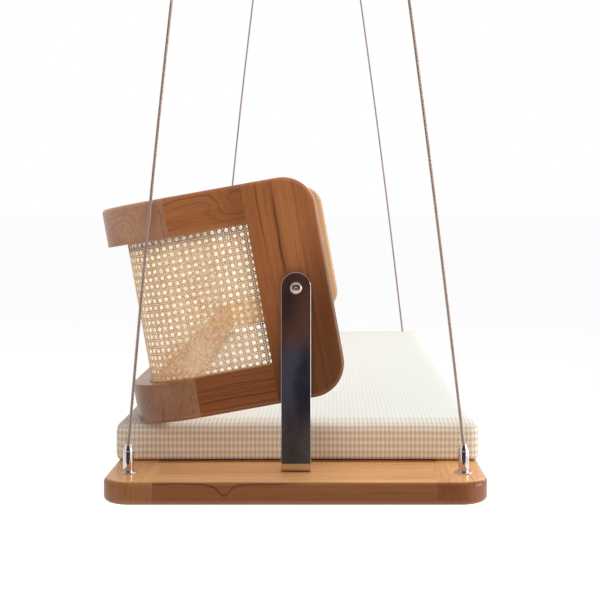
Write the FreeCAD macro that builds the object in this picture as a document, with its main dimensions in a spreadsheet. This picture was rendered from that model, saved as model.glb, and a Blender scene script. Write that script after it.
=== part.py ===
"""Jhoola swing: a timber seat on four wire ropes, with a cane backrest that turns over the top.

The frame's origin is the centre of the four ceiling studs, on the ceiling's face, with +Z up.
The seat is long in Y, and the sitter faces +X. "Right" is the end at -Y and "left" the end at +Y,
"back" is -X and "front" is +X. Lengths are in millimetres.
"""
import FreeCAD, Part
import math
import os

from FreeCAD import Placement, Rotation, Vector

SIZES = {
    # Seat frame
    "seat_length": 1800.0,
    "seat_depth": 660.0,
    "seat_thickness": 40.0,
    "seat_corner_radius": 50.0,
    "seat_edge_round": 9.0,
    "seat_rail_width": 90.0,
    "seat_end_width": 160.0,
    "seat_dowel_diameter": 12.0,
    "seat_dowel_length": 60.0,
    "seat_dowel_spacing": 80.0,
    # Deck and braces
    "deck_thickness": 18.0,
    "deck_rebate": 12.0,
    "brace_width": 70.0,
    "brace_spacing": 400.0,
    "deck_screw_diameter": 4.0,
    "deck_screw_head": 8.0,
    "deck_screw_length": 32.0,
    "deck_screw_spacing": 320.0,
    # Cushion
    "cushion_width": 659.0,
    "cushion_from_end": 166.0,
    "cushion_side_height": 62.0,
    "cushion_crown": 8.0,
    "cushion_corner_radius": 28.0,
    "cushion_edge_round": 13.0,
    "cushion_draw_in": 3.0,
    # Ropes and the ferrules that hold them
    "rope_diameter": 5.5,
    "hole_from_side": 38.0,
    "hole_from_end": 72.0,
    "washer_diameter": 32.0,
    "washer_thickness": 2.0,
    "ferrule_diameter": 18.5,
    "ferrule_height": 48.0,
    "ferrule_taper": 11.0,
    "ferrule_tip_diameter": 9.6,
    "rope_socket_depth": 4.0,
    "rope_socket_clearance": 0.7,
    "rope_end_gap": 1.1,
    "shank_diameter": 10.0,
    "shank_clearance": 0.5,
    "counterbore_diameter": 34.0,
    "counterbore_depth": 13.0,
    "nut_across": 19.6,
    "nut_height": 8.0,
    # Eye terminals and ceiling hangers
    "pin_above_seat": 1185.0,
    "hook_spread": 324.1,
    "hook_lean": 12.8,
    "eye_diameter": 34.0,
    "eye_hole_diameter": 18.0,
    "eye_thickness": 8.0,
    "swage_diameter": 13.0,
    "swage_length": 46.0,
    "swage_taper": 10.0,
    "swage_wall": 12.0,
    "eye_hang_gap": 0.3,
    "eye_side_shift": 1.1,
    "eye_side_rise": 0.3,
    "hanger_drop": 38.0,
    "hanger_flange_diameter": 46.0,
    "hanger_flange_thickness": 6.0,
    "hanger_ear_thickness": 5.0,
    "hanger_ear_width": 26.0,
    "hanger_ear_gap": 9.0,
    "ceiling_stud_diameter": 12.0,
    "ceiling_stud_length": 30.0,
    "pin_diameter": 10.0,
    "pin_head_diameter": 16.0,
    "pin_head_thickness": 3.0,
    "pin_tail": 4.0,
    "ring_thickness": 1.2,
    # Arms and pivots
    "arm_width": 52.0,
    "arm_thickness": 6.0,
    "arm_height": 348.5,
    "arm_foot": 66.0,
    "arm_bend_radius": 8.0,
    "arm_inner_bend": 2.0,
    "arm_edge_round": 0.8,
    "pivot_from_top": 27.5,
    "pivot_gap": 6.0,
    "bolt_diameter": 10.0,
    "bolt_head_diameter": 21.0,
    "bolt_head_height": 6.0,
    "bolt_length": 42.0,
    "bolt_socket_across": 6.0,
    "bolt_socket_depth": 3.0,
    "bush_diameter": 14.0,
    "bush_flange_diameter": 24.0,
    "bush_flange_thickness": 2.0,
    "pivot_running_gap": 0.06,
    "pivot_side_gap": 0.3,
    "insert_diameter": 16.0,
    "insert_length": 34.0,
    "foot_screw_diameter": 5.0,
    "foot_screw_head": 10.0,
    "foot_screw_length": 34.0,
    "foot_screw_spacing": 28.0,
    # Backrest
    "back_reach": 332.0,
    "post_front_reach": 60.0,
    "post_back_reach": 65.0,
    "post_thickness": 38.0,
    "post_corner_radius": 60.0,
    "backrest_rest_gap": 0.57,
    "rail_height": 70.0,
    "rail_bend_radius": 117.0,
    "rail_inner_radius": 58.0,
    "corner_block_straight": 11.0,
    "back_rail_width": 60.0,
    "rail_round": 8.0,
    "rail_small_round": 1.5,
    "rail_dowel_diameter": 10.0,
    "rail_dowel_length": 40.0,
    "rail_dowel_spacing": 34.0,
    # Cane and the splines that hold it
    "cane_thickness": 1.6,
    "cane_side_inset": 8.0,
    "cane_back_inset": 38.0,
    "cane_bend_radius": 92.0,
    "cane_groove_depth": 6.0,
    "spline_width": 4.0,
    "spline_proud": 3.5,
    "top_spline_proud": 0.4,
    "spline_sunk": 3.0,
}

BACKREST_TILT = 10.2
BRACE_PLACES = (-1, 0, 1)
CANE_ROWS = 3
CANE_BACK_COLUMNS = 10
CANE_OPENING_SHARE = 0.52
HALF_SHARE = 0.5
ENDS = {"right": -1, "left": 1}
SIDES = {"back": -1, "front": 1}
TINY = 0.01

doc = FreeCAD.newDocument("JhoolaSwing")
sheet = doc.addObject("Spreadsheet::Sheet", "Sizes")
for row, (alias, number) in enumerate(SIZES.items(), start=1):
    sheet.set(f"A{row}", alias)
    sheet.set(f"B{row}", str(number))
    sheet.setAlias(f"B{row}", alias)
doc.recompute()


class Measure:
    """A length worked out from the sheet: its number, and the expression that binds it."""

    def __init__(self, number, words):
        self.number = number
        self.words = words

    def __float__(self):
        return float(self.number)

    def __add__(self, other):
        other = measure(other)
        return Measure(self.number + other.number, f"({self.words} + {other.words})")

    def __sub__(self, other):
        other = measure(other)
        return Measure(self.number - other.number, f"({self.words} - {other.words})")

    def __mul__(self, factor):
        return Measure(self.number * factor, f"({self.words} * {factor!r})")

    def __truediv__(self, factor):
        return Measure(self.number / factor, f"({self.words} / {factor!r})")

    def __neg__(self):
        return self * -1

    __radd__ = __add__
    __rmul__ = __mul__


def measure(thing):
    """A Measure as it is, and a plain nought as a Measure."""
    if isinstance(thing, Measure):
        return thing
    return Measure(float(thing), repr(float(thing)))


def size(alias):
    """The sheet's value of that alias."""
    return Measure(float(getattr(sheet, alias)), f"Sizes.{alias}")


NOUGHT = measure(0)
NODES = []


def bind(thing, prop, length):
    """Tie a property to the sheet."""
    thing.setExpression(prop, measure(length).words)


def put(thing, x, y, z, rotation=None):
    """Place an object, its base point tied to the sheet."""
    point = Vector(float(x), float(y), float(z))
    thing.Placement = Placement(point, rotation or Rotation())
    bind(thing, "Placement.Base.x", x)
    bind(thing, "Placement.Base.y", y)
    bind(thing, "Placement.Base.z", z)
    return thing


def name_node(thing, label):
    """Give a finished sub-part its name and list it for export."""
    thing.Label = label
    NODES.append(thing)
    return thing


# Solids that serve many pieces

ALONG_X = Rotation(Vector(0, 1, 0), 90)
ALONG_Y = Rotation(Vector(1, 0, 0), -90)


def inward(y_sign):
    """+Z turned to point from that end's outer side towards the middle."""
    return Rotation(Vector(1, 0, 0), 90 * y_sign)


def box(name, length, width, height, x, y, z):
    """A box with its lowest corner at x, y, z."""
    thing = doc.addObject("Part::Box", name)
    bind(thing, "Length", length)
    bind(thing, "Width", width)
    bind(thing, "Height", height)
    return put(thing, x, y, z)


def rod(name, diameter, length, x, y, z, rotation=None):
    """A round bar from x, y, z along +Z, or turned from there."""
    thing = doc.addObject("Part::Cylinder", name)
    bind(thing, "Radius", diameter / 2)
    bind(thing, "Height", length)
    return put(thing, x, y, z, rotation)


def cone(name, low_diameter, high_diameter, length, x, y, z, rotation=None):
    """A cone frustum from x, y, z along +Z, or turned from there."""
    thing = doc.addObject("Part::Cone", name)
    bind(thing, "Radius1", low_diameter / 2)
    bind(thing, "Radius2", high_diameter / 2)
    bind(thing, "Height", length)
    return put(thing, x, y, z, rotation)


def fuse(name, pieces):
    """Several solids as one."""
    thing = doc.addObject("Part::MultiFuse", name)
    thing.Shapes = pieces
    thing.Refine = True
    return thing


def group(name, pieces):
    """Several separate solids in one object."""
    thing = doc.addObject("Part::Compound", name)
    thing.Links = pieces
    return thing


def cut(name, base, tool):
    """One solid with another taken out of it."""
    thing = doc.addObject("Part::Cut", name)
    thing.Base = base
    thing.Tool = tool
    return thing


def common(name, base, tool):
    """What two solids share."""
    thing = doc.addObject("Part::Common", name)
    thing.Base = base
    thing.Tool = tool
    return thing


def outline(body, plane_role, corners):
    """A closed sketch of straight lines on an origin plane, its corners tied to the sheet."""
    sketch = body.newObject("Sketcher::SketchObject", body.Name + "Outline")
    plane = [item for item in body.Origin.OriginFeatures if item.Role == plane_role][0]
    sketch.AttachmentSupport = [(plane, "")]
    sketch.MapMode = "FlatFace"
    points = [Vector(float(across), float(up), 0) for across, up in corners]
    count = len(points)
    for index in range(count):
        sketch.addGeometry(Part.LineSegment(points[index], points[(index + 1) % count]), False)
    import_constraints(sketch, corners)
    return sketch


def import_constraints(sketch, corners):
    """Join the lines end to end, and hold each corner at its two distances from the origin."""
    from Sketcher import Constraint
    count = len(corners)
    for index in range(count):
        sketch.addConstraint(Constraint("Coincident", index, 2, (index + 1) % count, 1))
    for index, corner in enumerate(corners):
        for kind, length in zip(("DistanceX", "DistanceY"), corner):
            number = sketch.addConstraint(Constraint(kind, -1, 1, index, 1, float(length)))
            sketch.setExpression(f"Constraints[{number}]", measure(length).words)


def padded_body(name, plane_role, corners, thickness, symmetric=False):
    """A PartDesign body: one outline, padded."""
    body = doc.addObject("PartDesign::Body", name)
    sketch = outline(body, plane_role, corners)
    pad = body.newObject("PartDesign::Pad", name + "Pad")
    pad.Profile = (sketch, [""])
    if symmetric:
        pad.SideType = "Symmetric"
    bind(pad, "Length", thickness)
    doc.recompute()
    return body


def turned_body(name, profile):
    """A PartDesign body turned on a lathe: its half profile (radius, height) round the Z axis."""
    body = doc.addObject("PartDesign::Body", name)
    sketch = outline(body, "XZ_Plane", profile)
    turn = body.newObject("PartDesign::Revolution", name + "Turn")
    turn.Profile = (sketch, [""])
    turn.ReferenceAxis = (sketch, ["V_Axis"])
    turn.Angle = 360
    return body


def round_edges(body, name, radius, chosen):
    """Round those edges of a body that the test chooses."""
    base = body.Tip
    names = [f"Edge{number}" for number, edge in enumerate(base.Shape.Edges, start=1) if chosen(edge)]
    if not names:
        raise RuntimeError(f"no edge to round in {name}")
    fillet = body.newObject("PartDesign::Fillet", name)
    fillet.Base = (base, names)
    bind(fillet, "Radius", radius)
    doc.recompute()
    return fillet


def lies_at(edge, axis, place):
    """True where the whole edge lies in the plane axis = place."""
    low = getattr(edge.BoundBox, axis + "Min")
    high = getattr(edge.BoundBox, axis + "Max")
    return abs(low - float(place)) < TINY and abs(high - float(place)) < TINY


# Places that several pieces share, in the seat's own frame: centre of its top face

rope_y = size("seat_length") / 2 - size("hole_from_end")
hole_x = size("seat_depth") / 2 - size("hole_from_side")
seat_x = size("hook_lean")
seat_z = -(size("hanger_drop") + size("pin_above_seat"))
end_inner_y = size("seat_length") / 2 - size("seat_end_width")
rail_inner_x = size("seat_depth") / 2 - size("seat_rail_width")
pivot_height = size("arm_height") - size("pivot_from_top")
LEAN = Rotation(Vector(0, 1, 0), -BACKREST_TILT)


def on_seat(thing, label):
    """A finished piece that was drawn in the seat's frame."""
    put(thing, seat_x, NOUGHT, seat_z)
    return name_node(thing, label)


def on_backrest(thing, label):
    """A finished piece that was drawn in the backrest's frame: pivot axis, unturned."""
    put(thing, seat_x, NOUGHT, seat_z + pivot_height, LEAN)
    return name_node(thing, label)


# Seat frame: full-length side rails with rounded ends, and end rails dowelled between them

def seat_dowels():
    """Two dowels across each joint of a side rail with an end rail."""
    dowels = []
    for side, x_sign in SIDES.items():
        for end, y_sign in ENDS.items():
            for step in (-1, 1):
                middle_y = size("seat_length") / 2 - size("seat_end_width") / 2
                y = middle_y * y_sign + size("seat_dowel_spacing") / 2 * step
                x = rail_inner_x * x_sign - size("seat_dowel_length") / 2
                z = -size("seat_thickness") / 2
                name = f"SeatDowel{side}{end}{step + 1}"
                dowels.append(rod(name, size("seat_dowel_diameter"), size("seat_dowel_length"),
                                  x, y, z, ALONG_X))
    return group("SeatDowels", dowels)


def shank_holes():
    """Through holes with counterbores for the four ferrules' shanks."""
    tools = []
    for side, x_sign in SIDES.items():
        for end, y_sign in ENDS.items():
            x = hole_x * x_sign
            y = rope_y * y_sign
            low = -size("seat_thickness") * 2
            width = size("shank_diameter") + size("shank_clearance") * 2
            tools.append(rod(f"ShankHole{side}{end}", width, size("seat_thickness") * 4, x, y, low))
            height = size("seat_thickness") + size("counterbore_depth")
            tools.append(rod(f"Counterbore{side}{end}", size("counterbore_diameter"), height, x, y, low))
    return group("ShankHoles", tools)


def deck_recess():
    """The rebate in the frame's top inner edges, as the deck's own outline."""
    length = end_inner_y * 2 + size("deck_rebate") * 2
    width = rail_inner_x * 2 + size("deck_rebate") * 2
    return box("DeckRecess", width, length, size("deck_thickness"),
               -width / 2, -length / 2, -size("deck_thickness"))


def side_rail(side, x_sign):
    """A full-length rail: outer corners round in plan, outer edges rounded over."""
    inner = rail_inner_x * x_sign
    outer = size("seat_depth") / 2 * x_sign
    half = size("seat_length") / 2
    corners = [(inner, -half), (outer, -half), (outer, half), (inner, half)]
    body = padded_body(f"SideRail{side}", "XY_Plane", corners, size("seat_thickness"))
    round_edges(body, f"SideRailCorners{side}", size("seat_corner_radius"),
                lambda edge: lies_at(edge, "X", outer) and edge.BoundBox.ZLength > TINY)
    round_edges(body, f"SideRailEdges{side}", size("seat_edge_round"),
                lambda edge: edge.BoundBox.ZLength < TINY and not lies_at(edge, "X", inner))
    put(body, NOUGHT, NOUGHT, -size("seat_thickness"))
    return body


def end_rail(end, y_sign):
    """An end rail between the side rails, its outer edges rounded over like theirs."""
    inner = end_inner_y * y_sign
    outer = size("seat_length") / 2 * y_sign
    half = rail_inner_x
    corners = [(-half, inner), (half, inner), (half, outer), (-half, outer)]
    body = padded_body(f"EndRail{end}", "XY_Plane", corners, size("seat_thickness"))
    round_edges(body, f"EndRailEdges{end}", size("seat_edge_round"),
                lambda edge: edge.BoundBox.ZLength < TINY and lies_at(edge, "Y", outer))
    put(body, NOUGHT, NOUGHT, -size("seat_thickness"))
    return body


frame_cuts = fuse("FrameCuts", [seat_dowels(), shank_holes(), deck_recess()])
frame_cuts.Refine = False
for side, x_sign in SIDES.items():
    on_seat(cut(f"SeatRail{side}", side_rail(side, x_sign), frame_cuts), f"seat_rail_{side}")


# Arm feet screw down into the end rails

def countersunk_screw(name, head, shank, length, x, y, z):
    """A countersunk wood screw, head up, its flat top at x, y, z."""
    cone_length = (head - shank) / 2
    top = cone(name + "Head", shank, head, cone_length, x, y, z - cone_length)
    stem = rod(name + "Stem", shank, length - cone_length, x, y, z - length)
    return fuse(name, [top, stem])


def foot_screws(end, y_sign):
    """Two screws through an arm's foot."""
    screws = []
    for step in (-1, 1):
        x = size("foot_screw_spacing") / 2 * step
        y = (rope_y - size("arm_foot") * FOOT_SCREW_SHARE) * y_sign
        screws.append(countersunk_screw(f"FootScrew{end}{step + 1}", size("foot_screw_head"),
                                        size("foot_screw_diameter"), size("foot_screw_length"),
                                        x, y, size("arm_thickness")))
    return screws


FOOT_SCREW_SHARE = 0.6
foot_screw_set = {end: foot_screws(end, y_sign) for end, y_sign in ENDS.items()}
arm_screws = group("ArmScrewTools", foot_screw_set["right"] + foot_screw_set["left"])
for end, y_sign in ENDS.items():
    end_shape = cut(f"SeatEndShape{end}", end_rail(end, y_sign), frame_cuts)
    on_seat(cut(f"SeatEnd{end}", end_shape, arm_screws), f"seat_end_{end}")
on_seat(group("SeatDowelSet", [seat_dowels()]), "seat_dowels")
on_seat(group("ArmScrews", [arm_screws]), "arm_screws")


# Deck panel in the rebate, and the braces under it

def deck_screws():
    """Two screws through the deck into each brace."""
    screws = []
    for place in BRACE_PLACES:
        for step in (-1, 1):
            screws.append(countersunk_screw(f"DeckScrew{place + 1}{step + 1}", size("deck_screw_head"),
                                            size("deck_screw_diameter"), size("deck_screw_length"),
                                            size("deck_screw_spacing") / 2 * step,
                                            size("brace_spacing") * place, NOUGHT))
    return group("DeckScrewTools", screws)


deck_screw_set = deck_screws()
on_seat(cut("SeatDeck", deck_recess(), deck_screw_set), "seat_deck")
for number, place in enumerate(BRACE_PLACES, start=1):
    bar = box(f"BraceBar{number}", rail_inner_x * 2, size("brace_width"),
              size("seat_thickness") - size("deck_thickness"), -rail_inner_x,
              size("brace_spacing") * place - size("brace_width") / 2, -size("seat_thickness"))
    on_seat(cut(f"Brace{number}", bar, deck_screw_set), f"seat_brace_{number}")
on_seat(group("DeckScrews", [deck_screw_set]), "deck_screws")


# Cushion: a boxed foam pad with a crown, rounded edges and sides a little drawn in

CROWN_SHARES = ((0.35, 0.5), (1.0, 0.82), (2.6, 0.95), (5.5, 1.0))
EDGE_STEPS = 3
LOW_ROUND_SHARE = 0.45


def cushion_ring(inset, height):
    """A closed wire: four sides that curve in at their middles, joined by corner arcs."""
    half_x = float(size("cushion_width")) / 2 - inset
    half_y = float(size("seat_length") / 2 - size("cushion_from_end")) - inset
    radius = float(size("cushion_corner_radius"))
    draw = float(size("cushion_draw_in"))
    slant = radius * (1 - math.sqrt(0.5))
    edges = []
    for turn in range(4):
        along, across = (half_x, half_y) if turn % 2 == 0 else (half_y, half_x)
        spin = Rotation(Vector(0, 0, 1), 90 * turn)
        start = spin.multVec(Vector(-along + radius, -across, 0))
        middle = spin.multVec(Vector(0, -across + draw, 0))
        stop = spin.multVec(Vector(along - radius, -across, 0))
        corner = spin.multVec(Vector(along - slant, -across + slant, 0))
        after = spin.multVec(Vector(along, -across + radius, 0))
        lift = Vector(0, 0, height)
        edges.append(Part.Arc(start + lift, middle + lift, stop + lift).toShape())
        edges.append(Part.Arc(stop + lift, corner + lift, after + lift).toShape())
    return Part.Wire(edges)


def cushion_shape():
    """A ruled loft up the sides, over the rounded edge and across the crown."""
    side = float(size("cushion_side_height"))
    edge = float(size("cushion_edge_round"))
    low_edge = edge * LOW_ROUND_SHARE
    rings = []
    for step in range(EDGE_STEPS + 1):
        angle = math.pi / 2 * step / EDGE_STEPS
        rings.append((low_edge * (1 - math.sin(angle)), low_edge * (1 - math.cos(angle))))
    for step in range(EDGE_STEPS + 1):
        angle = math.pi / 2 * step / EDGE_STEPS
        rings.append((edge * (1 - math.cos(angle)), side - edge * (1 - math.sin(angle))))
    for reach, rise in CROWN_SHARES:
        rings.append((edge + edge * reach * 2, side + float(size("cushion_crown")) * rise))
    return Part.makeLoft([cushion_ring(inset, height) for inset, height in rings], True, True)


cushion = doc.addObject("Part::Feature", "Cushion")
cushion.Shape = cushion_shape()
on_seat(cushion, "seat_cushion")


# Rope ferrules: a chromed body with a tapered tip, on a threaded shank through the rail

def ferrule(side, end):
    """Half profile from the shank's foot up to the socket that takes the rope."""
    shank = size("shank_diameter") / 2
    wide = size("ferrule_diameter") / 2
    tip = size("ferrule_tip_diameter") / 2
    socket = size("rope_diameter") / 2 + size("rope_socket_clearance")
    low = -size("seat_thickness") + size("washer_thickness") / 2
    foot = size("washer_thickness")
    top = foot + size("ferrule_height")
    profile = [(NOUGHT, low), (shank, low), (shank, foot), (wide, foot),
               (wide, top - size("ferrule_taper")), (tip, top), (socket, top),
               (socket, top - size("rope_socket_depth")), (NOUGHT, top - size("rope_socket_depth"))]
    return turned_body(f"Ferrule{side}{end}", profile)


def ring(name, outer, inner, thickness, x, y, z, rotation=None):
    """A flat washer, its lower face at z."""
    disc = rod(name + "Disc", outer, thickness, x, y, z, rotation)
    hole = rod(name + "Hole", inner, thickness, x, y, z, rotation)
    return cut(name, disc, hole)


def nut(name, x, y, z):
    """A plain hexagon nut on the shank, its lower face at z."""
    thing = doc.addObject("Part::Prism", name + "Hexagon")
    thing.Polygon = 6
    bind(thing, "Circumradius", size("nut_across") / 2)
    bind(thing, "Height", size("nut_height"))
    put(thing, x, y, z)
    return cut(name, thing, rod(name + "Hole", size("shank_diameter"), size("nut_height"), x, y, z))


def hardware_at_corners():
    """Ferrule, top washer, underside washer and nut at each of the four rope holes."""
    top_washers = []
    low_washers = []
    nuts = []
    for side, x_sign in SIDES.items():
        for end, y_sign in ENDS.items():
            x = hole_x * x_sign
            y = rope_y * y_sign
            body = ferrule(side, end)
            put(body, seat_x + x, y, seat_z)
            name_node(body, f"ferrule_{side}_{end}")
            top_washers.append(ring(f"TopWasher{side}{end}", size("washer_diameter"),
                                    size("shank_diameter"), size("washer_thickness"), x, y, NOUGHT))
            seat_of_nut = -size("seat_thickness") + size("counterbore_depth")
            low_washers.append(ring(f"LowWasher{side}{end}", size("washer_diameter"),
                                    size("shank_diameter"), size("washer_thickness"),
                                    x, y, seat_of_nut - size("washer_thickness")))
            nuts.append(nut(f"Nut{side}{end}", x, y,
                            seat_of_nut - size("washer_thickness") - size("nut_height")))
    on_seat(group("TopWashers", top_washers), "rope_washers_top")
    on_seat(group("LowWashers", low_washers), "rope_washers_underside")
    on_seat(group("Nuts", nuts), "rope_nuts")


hardware_at_corners()


# Ropes, their eye terminals, and the hangers in the ceiling

pin_z = size("pin_above_seat")
mouth_z = size("washer_thickness") + size("ferrule_height") - size("rope_socket_depth") / 2
pin_play = size("eye_hole_diameter") / 2 - size("pin_diameter") / 2


def hook_x(x_sign):
    """Where a hanger's pin lies, in the seat's frame."""
    return size("hook_spread") / 2 * x_sign - size("hook_lean")


def eye_centre(side, x_sign):
    """Centre of an eye's hole, hung on its pin. The front eyes leave play for the linkage."""
    if side == "back":
        return hook_x(x_sign), pin_z - pin_play + size("eye_hang_gap")
    drop = pin_play - size("eye_hang_gap") - size("eye_side_rise")
    return hook_x(x_sign) - size("eye_side_shift"), pin_z - drop


def rope_line(side, x_sign):
    """The pivot in the ferrule's mouth, the eye's centre, and the line between them."""
    mouth = Vector(float(hole_x * x_sign), 0, float(mouth_z))
    eye_x, eye_z = eye_centre(side, x_sign)
    eye = Vector(float(eye_x), 0, float(eye_z))
    line = eye - mouth
    return mouth, eye, line


def along(start, line, distance):
    """A point on the line, that far from its start."""
    unit = Vector(line)
    unit.normalize()
    return start + unit * distance


def seat_point(point, y_sign):
    """A point of the rope's plane as three measures in the part's frame."""
    return (seat_x + measure(point.x), rope_y * y_sign, seat_z + measure(point.z))


def wire_rope(side, x_sign, end, y_sign):
    """A taut rope from the ferrule's socket up into the swage of its eye terminal."""
    mouth, eye, line = rope_line(side, x_sign)
    below = float(size("rope_socket_depth")) / 2 - float(size("rope_end_gap"))
    stop = float(size("eye_diameter")) / 2 + float(size("swage_wall"))
    start = along(mouth, line, -below)
    length = measure(line.Length + below - stop)
    x, y, z = seat_point(start, y_sign)
    rope = rod(f"Rope{side}{end}", size("rope_diameter"), length, x, y, z,
               Rotation(Vector(0, 0, 1), line))
    print(f"rope {side} {end}: length {float(length):.1f} mm, leans "
          f"{math.degrees(math.atan2(line.x, line.z)):.2f} degrees, straight, no bend")
    return name_node(rope, f"rope_{side}_{end}")


def eye_terminal(side, x_sign, end, y_sign):
    """A swaged eye: a drilled, tapered socket on the rope and a flat eye over the pin."""
    name = f"Eye{side}{end}"
    radius = size("eye_diameter") / 2
    half = size("eye_thickness") / 2
    disc = rod(name + "Disc", size("eye_diameter"), size("eye_thickness"), NOUGHT, -half, NOUGHT, ALONG_Y)
    straight = size("swage_length") - size("swage_taper")
    socket = rod(name + "Socket", size("swage_diameter"), straight, NOUGHT, NOUGHT, -radius - straight)
    tip = cone(name + "Tip", size("ferrule_tip_diameter"), size("swage_diameter"), size("swage_taper"),
               NOUGHT, NOUGHT, -radius - size("swage_length"))
    neck = cone(name + "Neck", size("swage_diameter"), size("eye_thickness"), radius - pin_play * 2,
                NOUGHT, NOUGHT, -radius)
    solid = fuse(name + "Solid", [disc, socket, tip, neck])
    hole = rod(name + "Hole", size("eye_hole_diameter"), size("eye_thickness"),
               NOUGHT, -half, NOUGHT, ALONG_Y)
    bore_length = size("swage_length") - size("swage_wall")
    bore = rod(name + "Bore", size("rope_diameter"), bore_length,
               NOUGHT, NOUGHT, -radius - size("swage_length"))
    piece = cut(name, solid, fuse(name + "Cuts", [hole, bore]))
    mouth, eye, line = rope_line(side, x_sign)
    x, y, z = seat_point(eye, y_sign)
    put(piece, x, y, z, Rotation(Vector(0, 0, 1), line))
    return name_node(piece, f"rope_eye_{side}_{end}")


def hanger(side, x_sign, end, y_sign):
    """A ceiling hanger: stud, flange and two ears, drilled for the pin."""
    name = f"Hanger{side}{end}"
    stud = rod(name + "Stud", size("ceiling_stud_diameter"), size("ceiling_stud_length"),
               NOUGHT, NOUGHT, NOUGHT)
    flange = rod(name + "Flange", size("hanger_flange_diameter"), size("hanger_flange_thickness"),
                 NOUGHT, NOUGHT, -size("hanger_flange_thickness"))
    pieces = [stud, flange]
    thick = size("hanger_ear_thickness")
    for step in (-1, 1):
        y = size("hanger_ear_gap") / 2 * step - (thick if step < 0 else NOUGHT)
        pieces.append(box(f"{name}Ear{step + 1}", size("hanger_ear_width"), thick, size("hanger_drop"),
                          -size("hanger_ear_width") / 2, y, -size("hanger_drop")))
        pieces.append(rod(f"{name}EarEnd{step + 1}", size("hanger_ear_width"), thick,
                          NOUGHT, y, -size("hanger_drop"), ALONG_Y))
    across = size("hanger_ear_gap") + thick * 2
    hole = rod(name + "Hole", size("pin_diameter"), across, NOUGHT, -across / 2,
               -size("hanger_drop"), ALONG_Y)
    piece = cut(name, fuse(name + "Solid", pieces), hole)
    put(piece, hook_x(x_sign) + size("hook_lean"), rope_y * y_sign, NOUGHT)
    return name_node(piece, f"hanger_{side}_{end}")


def hanger_pin(side, x_sign, end, y_sign):
    """A pin put in from the outside, its head outermost, and the retaining ring on its tail."""
    name = f"Pin{side}{end}"
    across = size("hanger_ear_gap") + size("hanger_ear_thickness") * 2
    head = size("pin_head_diameter") / 2
    shank = size("pin_diameter") / 2
    tail = across + size("pin_tail")
    profile = [(NOUGHT, -size("pin_head_thickness")), (head, -size("pin_head_thickness")),
               (head, NOUGHT), (shank, NOUGHT), (shank, tail), (NOUGHT, tail)]
    x = hook_x(x_sign) + size("hook_lean")
    z = -size("hanger_drop")
    pin = turned_body(name, profile)
    put(pin, x, (rope_y + across / 2) * y_sign, z, inward(y_sign))
    keeper = ring(name + "Ring", size("pin_head_diameter"), size("pin_diameter"), size("ring_thickness"),
                  x, (rope_y - across / 2) * y_sign, z, inward(y_sign))
    return pin, keeper


pins = []
keepers = []
for side, x_sign in SIDES.items():
    for end, y_sign in ENDS.items():
        wire_rope(side, x_sign, end, y_sign)
        eye_terminal(side, x_sign, end, y_sign)
        hanger(side, x_sign, end, y_sign)
        pin, keeper = hanger_pin(side, x_sign, end, y_sign)
        pins.append(pin)
        keepers.append(keeper)
name_node(group("HangerPins", pins), "hanger_pins")
name_node(group("PinRings", keepers), "pin_rings")


# Arms: flat bar bent into a foot, with a full-round top and a bush for the pivot bolt

def arm(end, y_sign):
    """The bent bar, rounded at the top, drilled for the bush and the foot screws."""
    face = rope_y * y_sign
    inner = (rope_y - size("arm_thickness")) * y_sign
    toe = (rope_y - size("arm_foot")) * y_sign
    shoulder = size("arm_height") - size("arm_width") / 2
    thick = size("arm_thickness")
    corners = [(face, NOUGHT), (toe, NOUGHT), (toe, thick), (inner, thick),
               (inner, shoulder), (face, shoulder)]
    body = padded_body(f"ArmBar{end}", "YZ_Plane", corners, size("arm_width"), symmetric=True)
    round_edges(body, f"ArmHeel{end}", size("arm_bend_radius"),
                lambda edge: lies_at(edge, "Y", face) and lies_at(edge, "Z", NOUGHT))
    round_edges(body, f"ArmBend{end}", size("arm_inner_bend"),
                lambda edge: lies_at(edge, "Y", inner) and lies_at(edge, "Z", thick))
    low_y = face if y_sign < 0 else inner
    crown = rod(f"ArmTop{end}", size("arm_width"), thick, NOUGHT, low_y, shoulder, ALONG_Y)
    bar = fuse(f"ArmSolid{end}", [body, crown])
    doc.recompute()
    rounded = doc.addObject("Part::Fillet", f"ArmRounded{end}")
    rounded.Base = bar
    radius = float(size("arm_edge_round"))
    edges = []
    for number, edge in enumerate(bar.Shape.Edges, start=1):
        if lies_at(edge, "Y", face) and edge.BoundBox.ZMax > float(size("arm_bend_radius")) + TINY:
            edges.append((number, radius, radius))
    rounded.Edges = edges
    hole = rod(f"ArmHole{end}", size("bush_diameter"), thick, NOUGHT, low_y, pivot_height, ALONG_Y)
    drilled = cut(f"ArmDrilled{end}", rounded, hole)
    on_seat(cut(f"Arm{end}", drilled, arm_screws), f"arm_{end}")


def pivot_bush(end, y_sign):
    """A flanged bush: sleeve through the arm, flange between the arm and the washer."""
    bolt = size("bolt_diameter") / 2 + size("pivot_running_gap")
    thick = size("arm_thickness")
    flange = size("bush_flange_diameter") / 2
    reach = thick + size("bush_flange_thickness")
    profile = [(bolt, NOUGHT), (size("bush_diameter") / 2, NOUGHT), (size("bush_diameter") / 2, thick),
               (flange, thick), (flange, reach), (bolt, reach)]
    body = turned_body(f"Bush{end}", profile)
    return put(body, NOUGHT, rope_y * y_sign, pivot_height, inward(y_sign))


for end, y_sign in ENDS.items():
    arm(end, y_sign)
on_seat(group("Bushes", [pivot_bush(end, y_sign) for end, y_sign in ENDS.items()]), "pivot_bushes")


# Backrest, drawn in its own frame: pivot axis at the origin, unturned

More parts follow.
